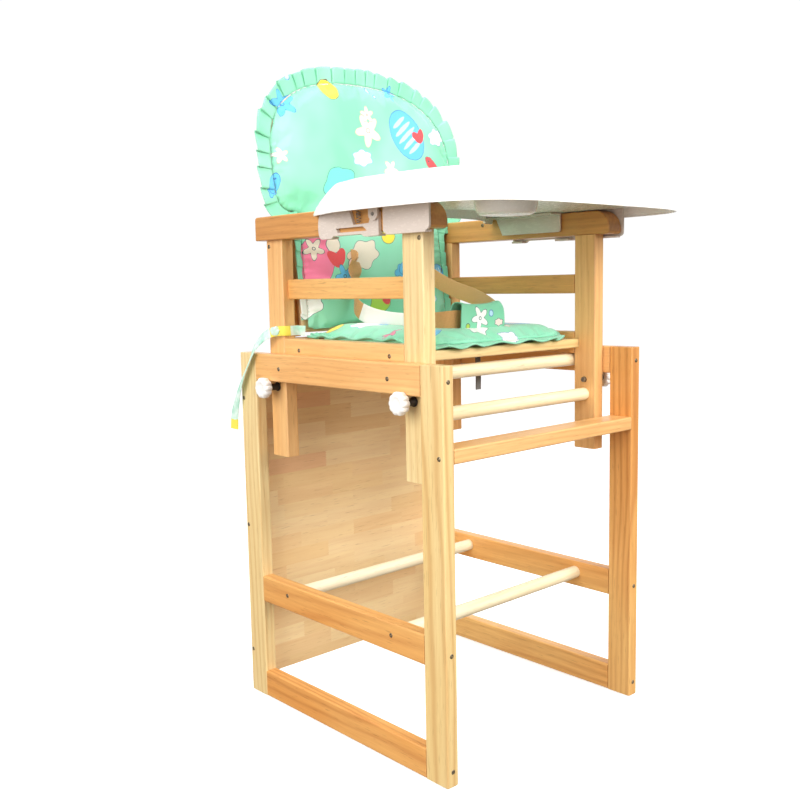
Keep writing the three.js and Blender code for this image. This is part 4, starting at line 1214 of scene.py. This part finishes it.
def rounded_rectangle(x0, x1, y0, y1, front, rear, count):
    """A closed outline whose front and rear corners have their own radii."""
    corners = ((x1 - front, y0 + front, front, -90), (x1 - rear, y1 - rear, rear, 0),
               (x0 + rear, y1 - rear, rear, 90), (x0 + front, y0 + front, front, 180))
    loop = []
    for cx, cy, radius, start in corners:
        for i in range(9):
            angle = math.radians(start + 90 * i / 8)
            loop.append((cx + radius * math.cos(angle), cy + radius * math.sin(angle), 0))
    loop.append(loop[0])
    return [(p.x, p.y) for p in smooth_line(loop, count + 1)][:-1]


def seat_cushion(plain):
    """Thin pad with a wavy sewn border that overhangs the seat's front edge."""
    cotton = printed_cotton("seat_cotton", (1, 0, 0), (0, 1, 0), SEAT_PRINT)
    low, high = (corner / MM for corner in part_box("seat_cushion"))
    seat = SEAT_TOP / MM
    outline = rounded_rectangle(low.x + 4, high.x - 4, low.y + 11, high.y - 3, 44, 12, 240)
    half_deep = (high.y - low.y) / 2

    def fuller_behind(x, y, z):
        """The filling is thicker towards the child's back."""
        behind = max(0.0, (y - low.y) / half_deep - 1)
        return Vector((x, y, seat + 1.6 + z * (1 + 0.4 * behind))) * MM

    points, faces = crowned_pad(outline, 20, 0, fuller_behind, fullness=0.22, roundness=9)
    pad = mesh_piece("seat_cushion_pad", points, faces, cotton)
    sewn_line = [Vector((x, y, seat + 6)) * MM for x, y in outline]
    tree = nearest(sewn_line)
    inflate(pad, 4.5 * MM, 2.4, 5 * MM, lambda p: 1.0 if tree.find(p)[2] < 6 * MM else 0.0)
    gather(pad, sewn_line, 0.8 * MM, 19 * MM, 16 * MM)
    for vertex in pad.data.vertices:
        vertex.co.z = max(vertex.co.z, (seat + 0.5) * MM)
    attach(pad, "stand")
    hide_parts("seat_cushion")

    loop = outline + outline[:1]
    seam, outward, lift = [], [], []
    for i, (x, y) in enumerate(loop):
        a, b = loop[i - 1 if i else -2], loop[(i + 1) % (len(loop) - 1) if i < len(loop) - 1 else 1]
        ahead = Vector((b[0] - a[0], b[1] - a[1], 0)).normalized()
        side = Vector((ahead.y, -ahead.x, 0))
        beside = min(1.0, max(0.0, (y - low.y - 25) / 40))
        seam.append(Vector((x - side.x, y - side.y, seat + 5.4 + 6.5 * beside)) * MM)
        outward.append(side + Vector((0, 0, -0.16 + 0.36 * beside)))
        lift.append(Vector((0, 0, 1)))
    made, total = frill("seat_cushion_border", seam, outward, lift, lambda s: 11 * MM, cotton, SOFT_WAVE,
                        58 * MM, lambda s: 5.4 * MM, seed=9, rows=8, steps=30, thick=2.4 * MM)
    board_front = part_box("seat_board")[0].y
    for vertex in made.data.vertices:
        if vertex.co.y > board_front:
            vertex.co.z = max(vertex.co.z, (seat + 0.6) * MM)
    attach(made, "stand")
    row = [p + Vector((0, 0, 3)) * MM - o.normalized() * 1.6 * MM for p, o in zip(seam, outward)]
    sewn = stitches("seat_cushion_stitches", on_surface(row, pad, Vector((0, 0, 1))), lift, plain)
    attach(sewn, "stand")


def crotch_sleeve():
    """Fabric tunnel for the belt, sewn to the seat pad, a little slack and creased."""
    cotton = printed_cotton("sleeve_cotton", (1, 0, 0), (0, 0, 1), SLEEVE_PRINT)
    low, high = (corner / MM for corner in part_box("crotch_sleeve"))
    middle = (low + high) / 2
    half_deep, half_tall = (high.y - low.y) / 2 - 1.2, (high.z - low.z) / 2 - 1.2
    around, along = 72, 60
    rng = random.Random(3)
    folds = [(rng.uniform(0, 6.28), rng.uniform(2, 5), rng.uniform(0.3, 0.8)) for _ in range(5)]
    points = []
    for i in range(along + 1):
        t = i / along
        x = low.x + (high.x - low.x) * t
        flare = 1 + 0.07 * abs(2 * t - 1) ** 3
        for j in range(around):
            angle = 2 * math.pi * j / around
            c, s = math.cos(angle), math.sin(angle)
            soft = 0.62
            y = half_deep * math.copysign(abs(c) ** soft, c)
            z = half_tall * math.copysign(abs(s) ** soft, s)
            wrinkle = sum(a * math.sin(w * angle + p + 5 * t) * math.sin(math.pi * min(1, 3 * (1 - abs(s))))
                          for p, w, a in folds) * 0.5
            hem = 0.7 if t < 0.07 or t > 0.93 else 0.0
            swell = flare + (wrinkle + hem) / half_tall
            sag = 1.6 * math.sin(math.pi * t) * max(0, s)
            points.append(Vector((x + 2.5 * math.sin(angle * 2 + 1) * (2 * t - 1), middle.y + y * swell,
                                  middle.z + z * (swell if s > 0 else 1.0) - sag)) * MM)
    made = mesh_piece("crotch_sleeve_cloth", points, rings_to_faces(along + 1, around), cotton)
    wall = made.modifiers.new("cloth", "SOLIDIFY")
    wall.thickness = 1.6 * MM
    wall.offset = -1
    apply_modifiers(made)
    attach(made, "stand")
    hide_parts("crotch_sleeve")


# ------------------------------------------------------------------ tapes
def tape(name, route, width, thick, surface, count, twist=None):
    """A flat tape along a smooth route, its width standing up, with UVs in metres.
    twist(share) turns the width about the tape's own line."""
    line = smooth_line(route, count)
    section = [(-0.5, -0.3), (-0.47, -0.5), (0.47, -0.5), (0.5, -0.3), (0.5, 0.3), (0.47, 0.5), (-0.47, 0.5),
               (-0.5, 0.3)]
    around = len(section)
    points, along = [], [0.0]
    for i, here in enumerate(line):
        ahead = (line[min(i + 1, count - 1)] - line[max(i - 1, 0)]).normalized()
        out = Vector((ahead.y, -ahead.x, 0))
        out = out.normalized() if out.length > 1e-6 else Vector((1, 0, 0))
        up = out.cross(ahead).normalized()
        if twist:
            turn = Matrix.Rotation(twist(i / (count - 1)), 3, ahead)
            out, up = turn @ out, turn @ up
        points += [here + up * (w * width) + out * (t * thick) for w, t in section]
        if i:
            along.append(along[-1] + (line[i] - line[i - 1]).length)
    faces = rings_to_faces(count, around)
    faces += [tuple(range(around))[::-1], tuple(range((count - 1) * around, count * around))]
    made = mesh_piece(name, points, faces, surface)
    layer = made.data.uv_layers.new(name="tape")
    for loop in made.data.loops:
        ring, corner = divmod(loop.vertex_index, around)
        layer.data[loop.index].uv = (along[ring], section[corner][0] * width)
    mark_sharp(made, 60)
    return made, line, along[-1]


def belt_route():
    """The waist belt's centreline: out of the back pad, slack, and through the sleeve."""
    low, high = (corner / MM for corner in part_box("crotch_sleeve"))
    x, y, z = (low.x + high.x) / 2, (low.y + high.y) / 2, 572 + 15 + 47 / 2
    back = y + 103
    return [Vector(p) * MM for p in (
        (64, 117 + back, z + 90), (74, 84 + back, z + 64), (80, 40 + back, z + 43), (78, -8 + back, z + 30),
        (66, -48 + back, z + 19), (50, -84 + back, z + 7), (38, -100 + back, z + 1), (x + 30, y, z),
        (x - 30, y, z), (-66, -99 + back, z), (-75, -80 + back, z - 2), (-70, -40 + back, z - 4),
        (-66, 10 + back, z - 5), (-80, 56 + back, z + 2), (-84, 92 + back, z + 18),
        (-70, 114 + back, z + 50), (-64, 117 + back, z + 90))]


def tie_route(sign):
    """The pad tie's centreline: round the rear leg, then down outside the base."""
    x, y = LEG_OUTER / MM, FRAME_Y
    route = ((163, 124 + y, 594), (172, 130 + y, 595), (x - 5, 130 + y, 595), (x + 3, 134 + y, 595),
             (x + 10, 146 + y, 594), (x + 18, 160 + y, 588), (x + 25, 178 + y, 570), (x + 28, 193 + y, 545),
             (x + 29, 211 + y, 518), (x + 29, 227 + y, 488), (x + 29, 237 + y, 460), (x + 29, 240 + y, 436))
    return [Vector((sign * p[0], p[1], p[2])) * MM for p in route]


def waist_belt():
    """Slack tan webbing, with its ends inside the back pad."""
    tan = webbing("belt_webbing", colour(226, 174, 112), colour(188, 134, 78))
    made, line, long = tape("waist_belt_webbing", belt_route(), 26 * MM, 1.6 * MM, tan, 240)
    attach(made, "stand")
    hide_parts("waist_belt")
    for side, start, towards in (("left", line[0], line[2]), ("right", line[-1], line[-3])):
        belt_root(side, start, towards, tan)
    belt_label(line)


def belt_root(side, start, towards, surface):
    """The short stretch of the belt inside its slot in the back pad."""
    back = (start - towards).normalized()
    inward = back_point(0, -1, 0) - back_point(0, 0, 0)
    route = [start, start + back * 5 * MM + inward * 3, start + back * 9 * MM + inward * 16]
    made, _, _ = tape(f"belt_root_{side}", route, 26 * MM, 1.6 * MM, surface, 24)
    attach(made, "stand")


def belt_label(line):
    """A blank woven size label that wraps the belt on the child's right."""
    cream = webbing("label_weave", colour(255, 254, 250), colour(248, 245, 238))
    part = [p for p in line if p.x < -60 * MM and 50 * MM < p.y < 140 * MM and p.z < 622 * MM]
    made, _, _ = tape("belt_label", part, 27.2 * MM, 2.6 * MM, cream, 60)
    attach(made, "stand")


def crotch_strap():
    grey = webbing("strap_webbing", colour(128, 126, 124), colour(98, 96, 95))
    low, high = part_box("crotch_strap")
    x, y = (low.x + high.x) / 2, (low.y + high.y) / 2
    route = [Vector((x, y, high.z)), Vector((x, y + 0.3 * MM, high.z - 22 * MM)),
             Vector((x, y - 0.3 * MM, low.z + 20 * MM)), Vector((x, y, low.z))]
    line = smooth_line(route, 40)
    width, thick = high.x - low.x, 1.8 * MM
    section = [(-0.5, -0.5), (0.5, -0.5), (0.5, 0.5), (-0.5, 0.5)]
    points = [p + Vector((w * width, t * thick, 0)) for p in line for w, t in section]
    faces = rings_to_faces(len(line), 4)
    faces += [(3, 2, 1, 0), tuple(range(len(points) - 4, len(points)))]
    made = mesh_piece("crotch_strap_webbing", points, faces, grey)
    layer = made.data.uv_layers.new(name="tape")
    for loop in made.data.loops:
        ring, corner = divmod(loop.vertex_index, 4)
        layer.data[loop.index].uv = ((line[0] - line[ring]).length, section[corner][0] * width)
    mark_sharp(made, 40)
    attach(made, "stand")
    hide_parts("crotch_strap")


def tie_cotton():
    """Plain mint cotton whose lowest stretch is lemon yellow."""
    made, n, shader = material("tie_cotton", roughness=0.74, Sheen_Weight=0.3, Sheen_Roughness=0.45)
    uv = n.add("ShaderNodeUVMap", uv_map="tape").outputs[0]
    split = n.add("ShaderNodeSeparateXYZ", {0: uv})
    place = n.add("ShaderNodeSeparateXYZ", {0: n.object_place()})
    tone = n.noise(uv, 60, 3)
    base = n.mix(n.span(tone, 0.3, 0.62), opaque(MINT_PALE), opaque(colour(232, 250, 242)))
    tip = n.math("LESS_THAN", n.math("ADD", place.outputs["Z"], n.math("MULTIPLY", tone, 0.006)), 0.455)
    wrap = n.math("LESS_THAN", n.math("ABSOLUTE", n.math("SUBTRACT", split.outputs[0], 0.043)), 0.017)
    dyed = n.mix(n.math("MAXIMUM", tip, wrap), base, opaque(colour(250, 232, 84)))
    rate = 2 * math.pi / 0.0006
    thread_wave = n.math("MULTIPLY", n.math("SINE", n.math("MULTIPLY", split.outputs[0], rate)),
                         n.math("SINE", n.math("MULTIPLY", split.outputs[1], rate)))
    woven = n.mix(n.span(thread_wave, -1, 1, 0, 0.12), dyed, opaque(colour(90, 170, 140)))
    n.feed(shader.inputs["Base Color"], woven)
    height = n.math("ADD", n.math("MULTIPLY", thread_wave, 0.3), tone)
    bump = n.add("ShaderNodeBump", {"Strength": 0.3, "Distance": 0.0006, "Height": height})
    n.feed(shader.inputs["Normal"], bump.outputs[0])
    return made


KNOT_AT = 27                    # step of the ribbon's 130 where its knot sits


def pad_ties():
    """Ribbons with a knot at the rear legs."""
    cotton = tie_cotton()
    for side, sign in SIDES:
        made, line, long = tape(f"pad_tie_ribbon_{side}", tie_route(sign), 15 * MM, 1.3 * MM, cotton, 130,
                                twist=lambda s: 0.9 * math.sin(math.pi * s) ** 2 - 0.3 * s)
        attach(made, "stand")
        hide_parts(f"pad_tie_{side}")
        knot = tie_knot(f"pad_tie_knot_{side}", line[KNOT_AT], line[KNOT_AT + 2] - line[KNOT_AT - 2], cotton)
        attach(knot, "stand")


def tie_knot(name, centre, ahead, surface):
    """A small overhand knot: a lumpy band that grips the ribbon."""
    ahead = ahead.normalized()
    side = ahead.cross(Vector((0, 0, 1))).normalized()
    up = side.cross(ahead)
    rings, around = 22, 32
    points = []
    for i in range(rings + 1):
        lat = math.pi * i / rings
        for j in range(around):
            lon = 2 * math.pi * j / around
            lump = 1 + 0.1 * math.sin(3 * lon + 4 * lat) + 0.07 * math.sin(5 * lat + 2 * lon)
            x = math.cos(lat) * 7.5 * lump
            y = math.sin(lat) * math.cos(lon) * 4.4 * lump
            z = math.sin(lat) * math.sin(lon) * 7.8 * lump
            points.append(centre + (ahead * x + side * y + up * z) * MM)
    made = mesh_piece(name, points, rings_to_faces(rings + 1, around), surface)
    layer = made.data.uv_layers.new(name="tape")
    for loop in made.data.loops:
        ring, step = divmod(loop.vertex_index, around)
        layer.data[loop.index].uv = (ring * MM, step * MM)
    return made


# ------------------------------------------------------------------ assembly
plastic = white_plastic("white_plastic")
# The guides and latch levers get a greyer plastic: painted shade for the tray's shadow over them.
guide_plastic_painted_shade = white_plastic("guide_plastic_painted_shade", colour(224, 212, 203), colour(214, 200, 189))
zinc = steel("zinc_steel", colour(176, 174, 170))
bronze = steel("screw_bronze", colour(150, 138, 118), roughness=0.42)
# The shank collars are near black: partly a dark shank, partly painted shade from the rail above them.
shank_dark_and_painted_shade, shank_nodes, shank_shader = material("knob_shank", roughness=0.55)
mottle = shank_nodes.noise(shank_nodes.object_place(), 240, 3)
shank_nodes.feed(shank_shader.inputs["Base Color"],
                  shank_nodes.mix(mottle, opaque(colour(52, 44, 40)), opaque(colour(28, 24, 22))))
mint_thread = thread("mint_thread", colour(120, 206, 176))

woodwork()
frame_screws(bronze)
tray_shell(plastic)
tray_hardware(guide_plastic_painted_shade, zinc)
for place in ("front", "rear"):
    for side, sign in SIDES:
        clamp_knob(place, side, sign, plastic, zinc, shank_dark_and_painted_shade)
back_cushion(mint_thread)
seat_cushion(mint_thread)
crotch_sleeve()
waist_belt()
crotch_strap()
pad_ties()
